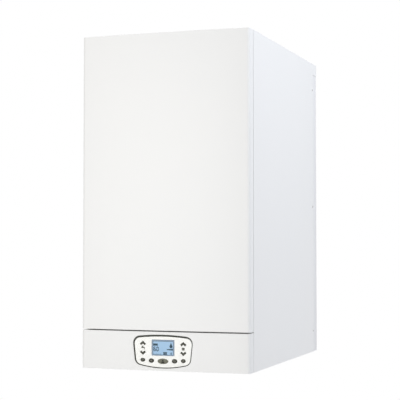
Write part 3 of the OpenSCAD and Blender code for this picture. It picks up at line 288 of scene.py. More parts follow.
# edges rubbed towards another colour
def makeEdgeGroup(low, high):
    first = {"Color": (0.8, 0.8, 0.8, 1), "Rubbed": (1, 1, 1, 1), "Amount": 0.5}
    group, start, end = newGroup("edgeRub", first, ("Color",))
    edge = addRange(group, addNode(group, "NewGeometry").outputs["Pointiness"], low, high)
    share = addNode(group, "Math", {0: edge, 1: start.outputs["Amount"]}, operation="MULTIPLY")
    colour = mixColours(group, share.outputs[0], start.outputs["Color"], start.outputs["Rubbed"])
    setInputs(group, end, {"Color": colour})
    return group


# zinc flowers of galvanised sheet
def makeSpangleGroup(smooth, rough):
    first = {"Scale": 90.0, "Dark": (0.5, 0.51, 0.52, 1), "Light": (0.7, 0.71, 0.72, 1)}
    group, start, end = newGroup("zincSpangle", first, ("Color", "Roughness"))
    space = {"Vector": objectSpace(group), "Scale": start.outputs["Scale"]}
    cells = addNode(group, "TexVoronoi", space)
    grey = addNode(group, "RGBToBW", {0: cells.outputs["Color"]}).outputs[0]
    colour = mixColours(group, grey, start.outputs["Dark"], start.outputs["Light"])
    gloss = addRange(group, grey, 0.0, 1.0, smooth, rough)
    setInputs(group, end, {"Color": colour, "Roughness": gloss})
    return group


# fine lines drawn along one direction
def makeLinesGroup(detail, low, high):
    first = {"Scale": 14.0, "Stretch": (60, 60, 1), "Smooth": 0.22, "Rough": 0.4}
    group, start, end = newGroup("drawnLines", first, ("Height", "Roughness"))
    stretch = {0: objectSpace(group), 1: start.outputs["Stretch"]}
    drawn = addNode(group, "VectorMath", stretch, operation="MULTIPLY").outputs[0]
    noise = addNoise(group, start, detail, drawn)
    endRelief(group, start, end, noise, low, high)
    return group


grainGroup = makeGrainGroup(*effectValues["grain"])
driftGroup = makeDriftGroup(*effectValues["drift"])
edgeGroup = makeEdgeGroup(*effectValues["edge"])
spangleGroup = makeSpangleGroup(*effectValues["zinc"])
linesGroup = makeLinesGroup(*effectValues["lines"])


# Finishes

def placeGroup(tree, group, inputs):
    return addNode(tree, "Group", inputs, node_tree=group).outputs


def addBump(tree, height, v):
    inputs = {"Strength": v["bump"], "Distance": v["bumpDepth"], "Height": height}
    return addNode(tree, "Bump", inputs).outputs["Normal"]


def addDrift(tree, v):
    tones = {"Scale": v["driftScale"], "Main": v["colour"], "Other": v["other"]}
    return placeGroup(tree, driftGroup, tones)["Color"]


def addEdge(tree, colour, v):
    tones = {"Color": colour, "Rubbed": v["rubbed"], "Amount": v["rub"]}
    return placeGroup(tree, edgeGroup, tones)["Color"]


def coatFinish(name, v):
    material, tree, body = newFinish(name)
    colour = addEdge(tree, addDrift(tree, v), v)
    relief = {"Scale": v["grainScale"], "Smooth": v["smooth"], "Rough": v["rough"]}
    grain = placeGroup(tree, grainGroup, relief)
    setInputs(tree, body, {
        "Base Color": colour,
        "Roughness": grain["Roughness"],
        "Normal": addBump(tree, grain["Height"], v),
        "Metallic": v["metal"],
        "Specular IOR Level": v["shine"],
        "Coat Weight": v["coat"],
        "Coat Roughness": v["coatRough"],
    })
    if "glow" in v:
        setInputs(tree, body, {"Emission Color": colour, "Emission Strength": v["glow"]})
    return material


def zincFinish(name, v):
    material, tree, body = newFinish(name)
    zinc = placeGroup(tree, spangleGroup, {"Scale": v["spangle"], "Dark": v["dark"], "Light": v["light"]})
    grain = placeGroup(tree, grainGroup, {"Scale": v["grainScale"]})
    setInputs(tree, body, {
        "Base Color": addEdge(tree, zinc["Color"], v),
        "Roughness": zinc["Roughness"],
        "Normal": addBump(tree, grain["Height"], v),
        "Metallic": v["metal"],
    })
    return material


def drawnFinish(name, v):
    material, tree, body = newFinish(name)
    strokes = {"Stretch": v["stretch"], "Smooth": v["smooth"], "Rough": v["rough"]}
    lines = placeGroup(tree, linesGroup, strokes)
    setInputs(tree, body, {
        "Base Color": addDrift(tree, v),
        "Roughness": lines["Roughness"],
        "Normal": addBump(tree, lines["Height"], v),
        "Metallic": v["metal"],
    })
    return material


def glassFinish(name, v):
    material, tree, body = newFinish(name)
    setInputs(tree, body, {
        "Base Color": addDrift(tree, v),
        "Roughness": v["rough"],
        "Transmission Weight": v["clear"],
        "IOR": v["refraction"],
    })
    return material


# values of a coat: two near colours, and what differs from a plain satin paint
def paint(colour, other, **more):
    v = {
        "colour": colour, "other": other, "rubbed": colour, "rub": 0.0, "driftScale": 3.0,
        "grainScale": 700.0, "smooth": 0.32, "rough": 0.42, "bump": 0.08, "bumpDepth": 0.0002,
        "metal": 0.0, "shine": 0.5, "coat": 0.0, "coatRough": 0.1,
    }
    v.update(more)
    return v


# values of a smooth print
def ink(colour, other, driftScale=200.0):
    return paint(colour, other, driftScale=driftScale, smooth=0.2, rough=0.3, bump=0.0, shine=0.15)


finishValues = {
    "casing_white": paint((0.885, 0.885, 0.865), (0.875, 0.878, 0.86), coat=0.15, coatRough=0.2),
    "white_plastic": paint(
        (0.88, 0.88, 0.86), (0.872, 0.875, 0.858), grainScale=1400.0, bump=0.05, coat=0.1,
    ),
    "insert_plastic": paint(
        (0.885, 0.885, 0.84), (0.878, 0.878, 0.83), grainScale=1600.0, smooth=0.22, rough=0.3,
        bump=0.03, coat=0.3,
    ),
    "key_plastic": paint(
        (0.032, 0.032, 0.02), (0.042, 0.04, 0.026), shine=0.3, rubbed=(0.14, 0.14, 0.1),
        rub=0.35, driftScale=60.0, grainScale=1800.0, smooth=0.38, rough=0.55,
    ),
    # the rear frame's white: a darker, more matt copy of the casing white, whose darker tone is painted
    # shade for the strip set back behind the side panels
    "frame_white_shaded": paint((0.845, 0.845, 0.835), (0.83, 0.832, 0.822), smooth=0.4, rough=0.5),
    "dark_seal": paint(
        (0.055, 0.057, 0.046), (0.07, 0.072, 0.06), driftScale=30.0, smooth=0.55, rough=0.75,
        bump=0.15, shine=0.25,
    ),
    "display": paint(
        (0.335, 0.53, 0.74), (0.375, 0.57, 0.77), driftScale=26.0, smooth=0.16, rough=0.26,
        bump=0.0, shine=0.15, glow=0.10,
    ),
    "display_ink": ink((0.012, 0.05, 0.075), (0.02, 0.06, 0.09)),
    "display_pale_ink": ink((0.06, 0.12, 0.18), (0.075, 0.14, 0.2)),
    # darker blue of the band round the display's edge, which is painted shade
    "display_edge_shade": ink((0.25, 0.33, 0.43), (0.29, 0.37, 0.47), 40.0),
    "menu_plastic": paint(
        (0.15, 0.15, 0.105), (0.175, 0.175, 0.13), shine=0.3, rubbed=(0.34, 0.34, 0.29),
        rub=0.35, driftScale=60.0, grainScale=1800.0, smooth=0.38, rough=0.5,
    ),
    "key_ink": paint(
        (0.008, 0.008, 0.006), (0.012, 0.012, 0.008), shine=0.2, driftScale=200.0, smooth=0.4,
        rough=0.5, bump=0.0,
    ),
    "key_pale_ink": paint(
        (0.3, 0.3, 0.25), (0.33, 0.33, 0.28), driftScale=200.0, smooth=0.4, rough=0.5, bump=0.0,
    ),
    "display_frame": paint((0.10, 0.13, 0.18), (0.12, 0.15, 0.2), smooth=0.4, rough=0.5),
    "circuit_board": paint(
        (0.03, 0.14, 0.06), (0.02, 0.10, 0.045), driftScale=90.0, rubbed=(0.45, 0.4, 0.2),
        rub=0.25, smooth=0.25, rough=0.45,
    ),
    "terminal_green": paint((0.05, 0.22, 0.10), (0.04, 0.18, 0.08), smooth=0.35, rough=0.5),
    "box_plastic": paint(
        (0.30, 0.31, 0.32), (0.28, 0.29, 0.30), grainScale=1200.0, smooth=0.45, rough=0.6,
        bump=0.15,
    ),
    "lid_plastic": paint(
        (0.11, 0.115, 0.12), (0.10, 0.105, 0.11), grainScale=1200.0, smooth=0.45, rough=0.6,
        bump=0.15,
    ),
    "dark_plastic": paint(
        (0.045, 0.048, 0.052), (0.06, 0.062, 0.066), driftScale=25.0, grainScale=1100.0,
        smooth=0.4, rough=0.58, bump=0.15,
    ),
    "zinc_steel": paint(
        (0.72, 0.72, 0.7), (0.62, 0.62, 0.6), driftScale=40.0, metal=1.0, smooth=0.18,
        rough=0.34,
    ),
    "insulation_foam": paint(
        (0.055, 0.055, 0.058), (0.08, 0.08, 0.083), driftScale=45.0, grainScale=260.0,
        smooth=0.9, rough=1.0, bump=0.7, bumpDepth=0.0008, shine=0.15,
    ),
    "cast_aluminium": paint(
        (0.52, 0.53, 0.54), (0.44, 0.45, 0.46), driftScale=22.0, metal=0.9, grainScale=420.0,
        smooth=0.42, rough=0.62, bump=0.35, bumpDepth=0.0005, rubbed=(0.75, 0.76, 0.77), rub=0.7,
    ),
    "socket_plastic": paint(
        (0.62, 0.63, 0.62), (0.56, 0.57, 0.56), driftScale=12.0, grainScale=900.0, smooth=0.4,
        rough=0.55, bump=0.12,
    ),
    "silicone_seal": paint(
        (0.30, 0.045, 0.03), (0.24, 0.035, 0.025), driftScale=30.0, smooth=0.5, rough=0.7,
    ),
    "board_insulation": paint(
        (0.74, 0.71, 0.63), (0.68, 0.65, 0.57), driftScale=35.0, grainScale=300.0, smooth=0.9,
        rough=1.0, bump=0.6, bumpDepth=0.0006, shine=0.1,
    ),
    "ceramic_white": paint(
        (0.82, 0.80, 0.74), (0.8, 0.78, 0.72), smooth=0.12, rough=0.2, bump=0.02, coat=0.5,
    ),
    "fan_grey": paint(
        (0.36, 0.37, 0.38), (0.31, 0.32, 0.33), driftScale=26.0, metal=0.8, grainScale=420.0,
        smooth=0.45, rough=0.62, bump=0.35, bumpDepth=0.0005, rubbed=(0.66, 0.67, 0.68), rub=0.6,
    ),
    "wheel_plastic": paint((0.05, 0.05, 0.055), (0.06, 0.06, 0.065), smooth=0.4, rough=0.55),
    "trap_plastic": paint(
        (0.66, 0.67, 0.66), (0.6, 0.61, 0.59), driftScale=14.0, grainScale=900.0, smooth=0.35,
        rough=0.5, bump=0.1,
    ),
    "lead_silicone": paint(
        (0.03, 0.03, 0.03), (0.045, 0.045, 0.045), driftScale=60.0, smooth=0.45, rough=0.6,
    ),
}
# what steel and brass have in common
drawnValues = {"driftScale": 18.0, "bump": 0.1, "bumpDepth": 0.0002, "metal": 1.0}
steelValues = {
    **drawnValues, "colour": (0.62, 0.62, 0.6), "other": (0.52, 0.51, 0.49),
    "stretch": (60, 60, 2), "smooth": 0.2, "rough": 0.38,
}
brassValues = {
    **drawnValues, "colour": (0.72, 0.50, 0.20), "other": (0.60, 0.40, 0.15),
    "stretch": (40, 40, 4), "smooth": 0.22, "rough": 0.42,
}
zincValues = {
    "spangle": 95.0, "dark": (0.50, 0.51, 0.52), "light": (0.64, 0.65, 0.66),
    "rubbed": (0.82, 0.82, 0.82), "rub": 0.5, "grainScale": 700.0, "bump": 0.15,
    "bumpDepth": 0.0001, "metal": 0.85,
}
glassValues = {
    "colour": (0.80, 0.88, 0.88), "other": (0.74, 0.83, 0.84), "driftScale": 40.0,
    "rough": 0.06, "clear": 0.85, "refraction": 1.47,
}
finishes = {name: coatFinish(name, v) for name, v in finishValues.items()}
finishes["stainless_steel"] = drawnFinish("stainless_steel", steelValues)
finishes["brass"] = drawnFinish("brass", brassValues)
finishes["galvanised_steel"] = zincFinish("galvanised_steel", zincValues)
finishes["sight_glass"] = glassFinish("sight_glass", glassValues)
print("finishes are mixed")


# Pieces of the frame that keep their shape get a finish and softened edges

softEdge = {
    # slot: radius of the softened edge in millimetres
    "casing_white": 0.5, "galvanised_steel": 0.4, "white_plastic": 0.9, "insert_plastic": 0.5,
    "cast_aluminium": 1.0, "fan_grey": 1.0, "socket_plastic": 0.8, "trap_plastic": 0.8,
    "dark_plastic": 0.6, "box_plastic": 0.8, "lid_plastic": 0.5, "brass": 0.5,
    "stainless_steel": 0.5, "zinc_steel": 0.4, "insulation_foam": 1.5, "terminal_green": 0.3,
    "display_frame": 0.4, "circuit_board": 0.2, "wheel_plastic": 0.3, "ceramic_white": 0.4,
}
# the rear frame takes the darker copy of the casing white, painted shade for its set-back strip
finishOf = {"rear_frame": "frame_white_shaded"}    # nodes whose finish isn't named as their slot is
softenValues = {
    # weld in metres; steps and weight of the softened edge
    "weld": 0.00001,
    "segments": 2,
    "weight": 80,
    # angles in degrees: what still counts as flat, what is softened, what stays sharp on round shapes
    "flat": 0.05,
    "edge": 35,
    "sharp": 40,
}


def smooth(obj):
    for face in obj.data.polygons:
        face.use_smooth = True


# smooth shading that leaves the real edges of a round shape sharp
def smoothRound(obj):
    smooth(obj)
    obj.data.set_sharp_from_angle(angle=math.radians(softenValues["sharp"]))


def soften(obj, radius):
    smooth(obj)
    weld = obj.modifiers.new("weld", "WELD")
    weld.merge_threshold = softenValues["weld"]
    flat = obj.modifiers.new("flat", "DECIMATE")
    flat.decimate_type = "DISSOLVE"
    flat.angle_limit = math.radians(softenValues["flat"])
    bevel = obj.modifiers.new("softEdge", "BEVEL")
    bevel.width = radius * mm
    bevel.segments = softenValues["segments"]
    bevel.limit_method = "ANGLE"
    bevel.angle_limit = math.radians(softenValues["edge"])
    bevel.use_clamp_overlap = True
    even = obj.modifiers.new("even", "WEIGHTED_NORMAL")
    even.keep_sharp = False
    even.weight = softenValues["weight"]


def dressNode(name, obj):
    slot = slotOf[name]
    obj.data.materials.clear()
    obj.data.materials.append(finishes[finishOf.get(name, slot)])
    if slot in softEdge:
        soften(obj, softEdge[slot])
    else:
        smooth(obj)


for name, obj in nodes.items():
    dressNode(name, obj)
print("the frame's pieces are dressed")


# Tools for flat signs, which lie in the front's plane: x to the right, z up

def toObject(name, bm, finish, body):
    bmesh.ops.recalc_face_normals(bm, faces=bm.faces)
    mesh = bpy.data.meshes.new(name)
    bm.to_mesh(mesh)
    bm.free()
    piece = bpy.data.objects.new(name, mesh)
    bpy.context.scene.collection.objects.link(piece)
    mesh.materials.append(finishes[finish])
    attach(piece, body)
    return piece


# a straight stroke; its corners can be clipped
def addBar(bm, x, z, length, width, angle=0.0, clip=0.0):
    turn = Matrix.Translation((x, 0, z)) @ Matrix.Rotation(math.radians(-angle), 4, "Y")
    turn = turn @ Matrix.Rotation(math.radians(90), 4, "X") @ Matrix.Diagonal((length, width, 1, 1))
    made = bmesh.ops.create_grid(bm, x_segments=1, y_segments=1, size=0.5, matrix=turn)
    if clip:
        bmesh.ops.bevel(
            bm, geom=made["verts"], offset=clip, segments=1, affect="VERTICES", profile=0.5, material=-1,
        )


# a row of strokes, of which each can be wider than the last
def addRow(bm, x, z, count, step, length, width, grow=0.0, clip=0.0):
    for i in range(count):
        addBar(bm, x + step * i, z, length, width + grow * i, 0, clip)


# short strokes that stand round a middle
def addRays(bm, x, z, count, radius, length, width):
    for i in range(count):
        angle = 360 / count * i
        a = math.radians(angle)
        addBar(bm, x + radius * math.cos(a), z + radius * math.sin(a), length, width, angle)


# part of a ring, from one angle to another
def addArc(bm, x, z, radius, width, start=0.0, sweep=360.0, steps=24):
    a = math.radians(start)
    ends = []
    for reach in (radius - width / 2, radius + width / 2):
        ends.append(bm.verts.new((x + reach * math.cos(a), 0, z + reach * math.sin(a))))
    bmesh.ops.spin(
        bm, geom=[*ends, bm.edges.new(ends)], cent=(x, 0, z), axis=(0, -1, 0), dvec=(0, 0, 0),
        angle=math.radians(sweep), steps=steps, use_merge=sweep >= 360,
    )


def addDisc(bm, x, z, radius, sides=24, stretch=(1, 1), turned=0.0):
    place = Matrix.Translation((x, 0, z)) @ Matrix.Rotation(math.radians(-turned), 4, "Y")
    upright = Matrix.Rotation(math.radians(90), 4, "X")
    place = place @ Matrix.Diagonal((stretch[0], 1, stretch[1], 1)) @ upright
    return bmesh.ops.create_circle(bm, cap_ends=True, segments=sides, radius=radius, matrix=place)["verts"]


# a disc drawn out to a point at the top, for drops and flames
def addDrop(bm, x, z, radius, reach, narrow=0.75, sides=32):
    for vert in addDisc(bm, x, z, radius, sides):
        up = max(0.0, (vert.co.z - z) / radius)
        vert.co.x = x + (vert.co.x - x) * (1 - up ** 2 * narrow)
        vert.co.z += reach * up ** 3


# a flat sign from its tools and their values, with x and z that count from a middle
def drawSign(shapes, x=0.0, z=0.0):
    bm = bmesh.new()
    for tool, v in shapes:
        tool(bm, **{**v, "x": x + v.get("x", 0), "z": z + v.get("z", 0)})
    return bm


def thicken(bm, front, back):
    for vert in bm.verts:
        vert.co.y = front
    made = bmesh.ops.extrude_face_region(bm, geom=list(bm.faces))
    moved = [g for g in made["geom"] if isinstance(g, bmesh.types.BMVert)]
    bmesh.ops.translate(bm, vec=(0, back - front, 0), verts=moved)


# draws a ring of edges out once more and gives back its new points and edges
def extrudeRing(bm, edges):
    made = bmesh.ops.extrude_edge_only(bm, edges=edges)
    verts = [g for g in made["geom"] if isinstance(g, bmesh.types.BMVert)]
    fresh = set(verts)
    ring = [g for g in made["geom"] if isinstance(g, bmesh.types.BMEdge) and set(g.verts) <= fresh]
    return verts, ring


# width as a share of the height; gap and clipped corner as shares of the stroke
figureShape = {"wide": 0.5, "gap": 0.25, "clip": 0.42}
strokesOf = {
    "0": "abcdef", "1": "bc", "2": "abged", "3": "abgcd", "4": "fgbc",
    "5": "afgcd", "6": "afgedc", "7": "abc", "8": "abcdefg", "9": "abcdfg",
}


# figures made of seven strokes, as a liquid-crystal display draws them
def addFigures(bm, text, x, z, height, stroke, step):
    half, wide = height / 2, height * figureShape["wide"]
    spots = {
        "a": (0, half, 0), "g": (0, 0, 0), "d": (0, -half, 0),
        "f": (-wide / 2, half / 2, 90), "b": (wide / 2, half / 2, 90),
        "e": (-wide / 2, -half / 2, 90), "c": (wide / 2, -half / 2, 90),
    }
    for figure in text:
        for part in strokesOf[figure]:
            dx, dz, angle = spots[part]
            length = (wide if angle == 0 else half) - stroke * figureShape["gap"]
            addBar(bm, x + dx, z + dz, length, stroke, angle, stroke * figureShape["clip"])
        x += step


# rails as shares of the height
radiatorShape = {"bars": 4, "clip": 0.3, "railWidth": 0.2, "railPlace": 0.3}


# a radiator as a sign: bars joined by two rails, which also stand out at the ends
def addRadiator(bm, x, z, pitch, bar, height):
    v = radiatorShape
    rail, gap, middle = height * v["railWidth"], pitch - bar, (v["bars"] - 1) / 2
    end = middle * pitch + bar / 2 + gap
    addRow(bm, x - pitch * middle, z, v["bars"], pitch, bar, height, clip=v["clip"])
    for dz in (-height * v["railPlace"], height * v["railPlace"]):
        addRow(bm, x - pitch * (middle - 0.5), z + dz, v["bars"] - 1, pitch, gap, rail)
        for dx in (-end, end):
            addBar(bm, x + dx, z + dz, 2 * gap, rail)


# Control panel

insertLow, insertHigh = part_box("display_insert")
windowLow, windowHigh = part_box("display_window")
insertFace, windowFace = insertLow.y, windowLow.y
caseBottom = casing["bottom"]

insertValues = {
    # radii of its corners, its arched top and its curved foot, and how far its sides lean in
    "corner": 15.0,
    "crown": 560.0,
    "foot": 270.0,
    "taper": 4.0,
}
sealValues = {
    # rings from the back at the insert round to the back at the recess: how far out from the
    # insert, how far to the left and up, and how far in front of the fascia's bowed face; the shift
    # to the left and up widens the dark rubber at the top and left, as painted shade of the gap there
    "rings": (
        (0.05, 0.0, 0.0, -2.7), (0.05, 0.0, 0.0, -0.25), (0.5, 0.0, 0.0, -0.02),
        (2.5, 0.6, 0.6, 0.1), (3.2, 1.2, 0.9, 0.28), (3.4, 1.3, 0.95, 0.22),
        (3.5, 1.35, 1.0, -0.05), (2.5, 0.6, 0.6, -0.3), (2.5, 0.6, 0.6, -2.7),
    ),
    "steps": 12,
}


# depth of the bowed front's face at x, in millimetres
def bowY(x):
    half, rise = casing["width"] / 2 / mm, casing["bowRise"] / mm
    radius = (half ** 2 + rise ** 2) / 2 / rise
    return casing["front"] / mm + radius - math.sqrt(radius ** 2 - x ** 2)


# outline of the insert in front view, grown by g
def insertOutline(v, g, steps):
    corner, crown, foot = v["corner"], v["crown"], v["foot"]
    topX = (insertHigh.x - insertLow.x) / 2 / mm - corner
    topA = math.asin(topX / (crown - corner))
    crownZ = insertHigh.z / mm - crown
    topZ = crownZ + (crown - corner) * math.cos(topA)
    lowX = topX - v["taper"]
    footA = math.asin(lowX / (foot - corner))
    footZ = insertLow.z / mm + foot
    lowZ = footZ - (foot - corner) * math.cos(footA)
    side = math.atan(v["taper"] / (topZ - lowZ))
    quarter, half = math.pi / 2, math.pi
    arcs = (
        (0, crownZ, crown, quarter + topA, quarter - topA),
        (topX, topZ, corner, quarter - topA, -side),
        (lowX, lowZ, corner, -side, footA - quarter),
        (0, footZ, foot, footA - quarter, -footA - quarter),
        (-lowX, lowZ, corner, -footA - quarter, side - half),
        (-topX, topZ, corner, side + half, topA + quarter),
    )
    points = []
    for x, z, radius, a0, a1 in arcs:
        for i in range(steps):
            a = a0 + (a1 - a0) * i / steps
            points.append((x + (radius + g) * math.cos(a), z + (radius + g) * math.sin(a)))
    return points


# a ring's new points, in the order of those that they were drawn out of
def inOrder(fresh, verts):
    order = {vert: i for i, vert in enumerate(verts)}
    near = {}
    for vert in fresh:
        for edge in vert.link_edges:
            other = edge.other_vert(vert)
            if other in order:
                near[order[other]] = vert
    return [near[i] for i in range(len(verts))]


# rubber seal that fills the gap round the insert, with a lip on the fascia at the top and left;
# the seal is real, but its dark rubber up at the face, widest at the top and left, is also painted shade of
# the gap
def makeSeal(v):
    bm = bmesh.new()
    verts, edges, first = [], [], []
    for g, left, up, proud in v["rings"]:
        outline = insertOutline(insertValues, g, v["steps"])
        if verts:
            fresh, edges = extrudeRing(bm, edges)
            verts = inOrder(fresh, verts)
        else:
            verts = [bm.verts.new((x, 0, z)) for x, z in outline]
            edges = [bm.edges.new((verts[i - 1], verts[i])) for i in range(len(verts))]
            first = edges
        for vert, (x, z) in zip(verts, outline):
            # the shift to the left and up makes the dark rubber wider at the top and left: painted shade
            vert.co = (x - left, bowY(x) - proud, z + up)
    bmesh.ops.bridge_loops(bm, edges=edges + first)
    bmesh.ops.scale(bm, vec=(mm, mm, mm), verts=bm.verts)
    piece = toObject("insertSeal", bm, "dark_seal", "panel")
    smoothRound(piece)
    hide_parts("insert_seal")


makeSeal(sealValues)

displayValues = {
    # signs in two inks; x from the middle and z above the casing's bottom, in millimetres
    "dark": (
        (addRow, {"x": -24.7, "z": 65.2, "count": 4, "step": 3.0, "length": 2.8, "width": 5.6, "clip": 0.3}),
        (addDrop, {"x": 21.2, "z": 61.4, "radius": 4.1, "reach": 5.8}),
        (addRow, {"x": 11.6, "z": 53.6, "count": 5, "step": 3.2, "length": 2.9, "width": 2.4, "grow": 0.5}),
        (addRadiator, {"x": 5.4, "z": 44.0, "pitch": 2.4, "bar": 1.9, "height": 6.6}),
    ),
    "pale": (
        (addFigures, {"text": "60", "x": -22.3, "z": 54.4, "height": 9.6, "stroke": 2.6, "step": 7.4}),
        (addFigures, {"text": "18", "x": 17.8, "z": 43.8, "height": 5.0, "stroke": 1.1, "step": 4.4}),
        (addRow, {"x": -24.4, "z": 41.7, "count": 5, "step": 3.4, "length": 2.2, "width": 1.3, "clip": 0.3}),
        (addArc, {"x": -6.4, "z": 42.3, "radius": 1.3, "width": 0.5, "start": 90, "sweep": 300,
                  "steps": 14}),
    ),
}
printValues = {
    # how far each print stands off its face, and how thick it is, in millimetres
    "display": (0.05, 0.05), "displayFrame": (0.0, 0.04), "displayLine": (0.0, 0.03),
    "insert": (0.0, 0.05), "key": (0.0, 0.03),
}


# gives flat signs their thickness, in front of a face
def placeSigns(name, bm, face, finish, body, layer):
    lift, depth = printValues[layer]
    bmesh.ops.scale(bm, vec=(mm, mm, mm), verts=bm.verts)
    bmesh.ops.translate(bm, vec=(0, 0, caseBottom), verts=bm.verts)
    thicken(bm, face - (lift + depth) * mm, face - lift * mm)
    return toObject(name, bm, finish, body)


def displayPrint(name, bm, finish, layer):
    placeSigns(name, bm, windowFace, finish, "panel", layer)


displayPrint("displaySignsDark", drawSign(displayValues["dark"]), "display_ink", "display")
displayPrint("displaySignsPale", drawSign(displayValues["pale"]), "display_pale_ink", "display")


# painted shade round the edge of the display, where the window's rim shades it: a darker band,
# widest at the top and narrowest at its foot, with a dark line inside
shadeFrameWidths = {"top": 4.0, "left": 3.4, "right": 3.4, "bottom": 1.9, "line": 0.7}


def displayFrame(inset, widths):
    bm = bmesh.new()
    low, high = windowLow / mm, windowHigh / mm
    x0, x1 = low.x + inset["left"], high.x - inset["right"]
    z0 = low.z - caseBottom / mm + inset["bottom"]
    z1 = high.z - caseBottom / mm - inset["top"]
    addBar(bm, (x0 + x1) / 2, z1 - widths["top"] / 2, x1 - x0, widths["top"])
    addBar(bm, (x0 + x1) / 2, z0 + widths["bottom"] / 2, x1 - x0, widths["bottom"])
    side = z1 - z0 - widths["top"] - widths["bottom"]
    middle = (z0 + widths["bottom"] + z1 - widths["top"]) / 2
    addBar(bm, x0 + widths["left"] / 2, middle, widths["left"], side)
    addBar(bm, x1 - widths["right"] / 2, middle, widths["right"], side)
    return bm


noInset = {"top": 0, "left": 0, "right": 0, "bottom": 0}
lineWidths = {side: shadeFrameWidths["line"] for side in noInset}
# the band of painted shade round the display, then the dark line inside it
displayPrint("displayFrame", displayFrame(noInset, shadeFrameWidths), "display_edge_shade", "displayFrame")
displayPrint("displayLine", displayFrame(shadeFrameWidths, lineWidths), "display_pale_ink", "displayLine")


insertSigns = (
    # a tap on the left, a radiator on the right
    (addBar, {"x": -55.1, "z": 57.2, "length": 6.0, "width": 2.8}),
    (addArc, {"x": -52.1, "z": 54.8, "radius": 2.4, "width": 2.8, "sweep": 90, "steps": 8}),
    (addBar, {"x": -55.0, "z": 59.15, "length": 2.0, "width": 1.1}),
    (addBar, {"x": -55.0, "z": 60.45, "length": 5.4, "width": 1.5, "clip": 0.3}),
    (addDrop, {"x": -49.8, "z": 52.8, "radius": 0.8, "reach": 1.0}),
    (addRadiator, {"x": 53.9, "z": 56.0, "pitch": 1.8, "bar": 1.5, "height": 6.6}),
)
signs = drawSign(insertSigns)
placeSigns("insertSigns", signs, insertFace, "key_plastic", "panel", "insert")


keyValues = {
    # node: x, z above the casing's bottom, half width, half height
    "reset_key": (-54, 26.5, 6, 4.6),
    "mode_key": (-31, 25.2, 7, 5.2),
    "menu_key": (0, 24.2, 14, 6.5),
    "info_key": (31, 25.2, 7, 5.2),
    "power_key": (54, 26.5, 6, 4.6),
}
keyShape = {
    "segments": 72,
    # how far the crown and its rounded edge fall, where that edge starts, and the rings between
    "crown": 0.34,
    "edge": 0.3,
    "edgeStart": 0.86,
    "rings": (0.99, 0.97, 0.94, 0.9, 0.84, 0.7, 0.5, 0.25),
    # width and depth of the rim, and how far the cap reaches into it
    "rim": 1.2,
    "rimDepth": 1.0,
    "joint": 0.05,
}


# depth of a key's crown behind its highest point, from its middle (0) to its edge (1)
def crownDrop(reach):
    start = keyShape["edgeStart"]
    edge = min(1.0, max(0.0, (reach - start) / (1 - start)))
    return keyShape["crown"] * reach ** 2 + keyShape["edge"] * (1 - math.sqrt(1 - edge ** 2))


def addOval(bm, x, z, half, tall, front, back):
    place = Matrix.Translation((x, (front + back) / 2, z)) @ Matrix.Diagonal((half, 1, tall, 1))
    place = place @ Matrix.Rotation(math.radians(90), 4, "X")
    bmesh.ops.create_cone(
        bm, cap_ends=True, segments=keyShape["segments"], radius1=1, radius2=1, depth=back - front,
        matrix=place,
    )


# turns the oval's flat front into a crown, ring by ring towards its middle
def addCrown(bm, x, z, face):
    top = min(bm.faces, key=lambda f: f.calc_center_median().y)
    middle = Matrix.Translation((-x, 0, -z))
    before = 1.0
    for reach in keyShape["rings"]:
        bmesh.ops.inset_region(bm, faces=[top], thickness=0.0, depth=0.0)
        closer = (reach / before, 1, reach / before)
        bmesh.ops.scale(bm, vec=closer, verts=top.verts, space=middle)
        for vert in top.verts:
            vert.co.y = face + crownDrop(reach)
        before = reach


# a crowned oval cap on a flat rim that keeps it behind the insert
def makeKey(node, x, z, a, b):
    low, high = (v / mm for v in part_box(node))
    z += caseBottom / mm
    rim, rimFront = keyShape["rim"], high.y - keyShape["rimDepth"]
    bm = bmesh.new()
    addOval(bm, x, z, a, b, low.y + crownDrop(1.0), rimFront + keyShape["joint"])
    addCrown(bm, x, z, low.y)
    addOval(bm, x, z, a + rim, b + rim, rimFront, high.y)
    bmesh.ops.scale(bm, vec=(mm, mm, mm), verts=bm.verts)
    finish = "menu_plastic" if node == "menu_key" else "key_plastic"
    piece = toObject(node + "Cap", bm, finish, node)
    smoothRound(piece)
    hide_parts(node)


keySigns = {
    # x and z from the key's middle, in millimetres
    "reset_key": (
        (addArc, {"radius": 1.8, "width": 0.5, "start": 120, "sweep": 300, "steps": 20}),
        (addDisc, {"x": -0.9, "z": 1.6, "radius": 0.8, "sides": 3, "turned": 60}),
    ),
    "mode_key": (
        (addDisc, {"radius": 1.0, "sides": 20}),
        (addRays, {"count": 8, "radius": 2.1, "length": 1.0, "width": 0.4}),
    ),
    "menu_key": (
        (addDisc, {"z": 1.4, "radius": 3.2, "sides": 3, "stretch": (1.2, 1)}),
        (addBar, {"z": -2.5, "length": 8.2, "width": 2.8, "clip": 0.6}),
    ),
    "info_key": (
        (addBar, {"z": -0.6, "length": 0.8, "width": 2.4, "angle": 90, "clip": 0.15}),
        (addDisc, {"z": 1.5, "radius": 0.55, "sides": 16}),
        (addArc, {"radius": 3.2, "width": 0.35, "steps": 28}),
    ),
    "power_key": (
        (addArc, {"z": -0.2, "radius": 1.9, "width": 0.5, "start": 120, "sweep": 300, "steps": 20}),
        (addBar, {"z": 1.2, "length": 2.0, "width": 0.5, "angle": 90}),
    ),
}


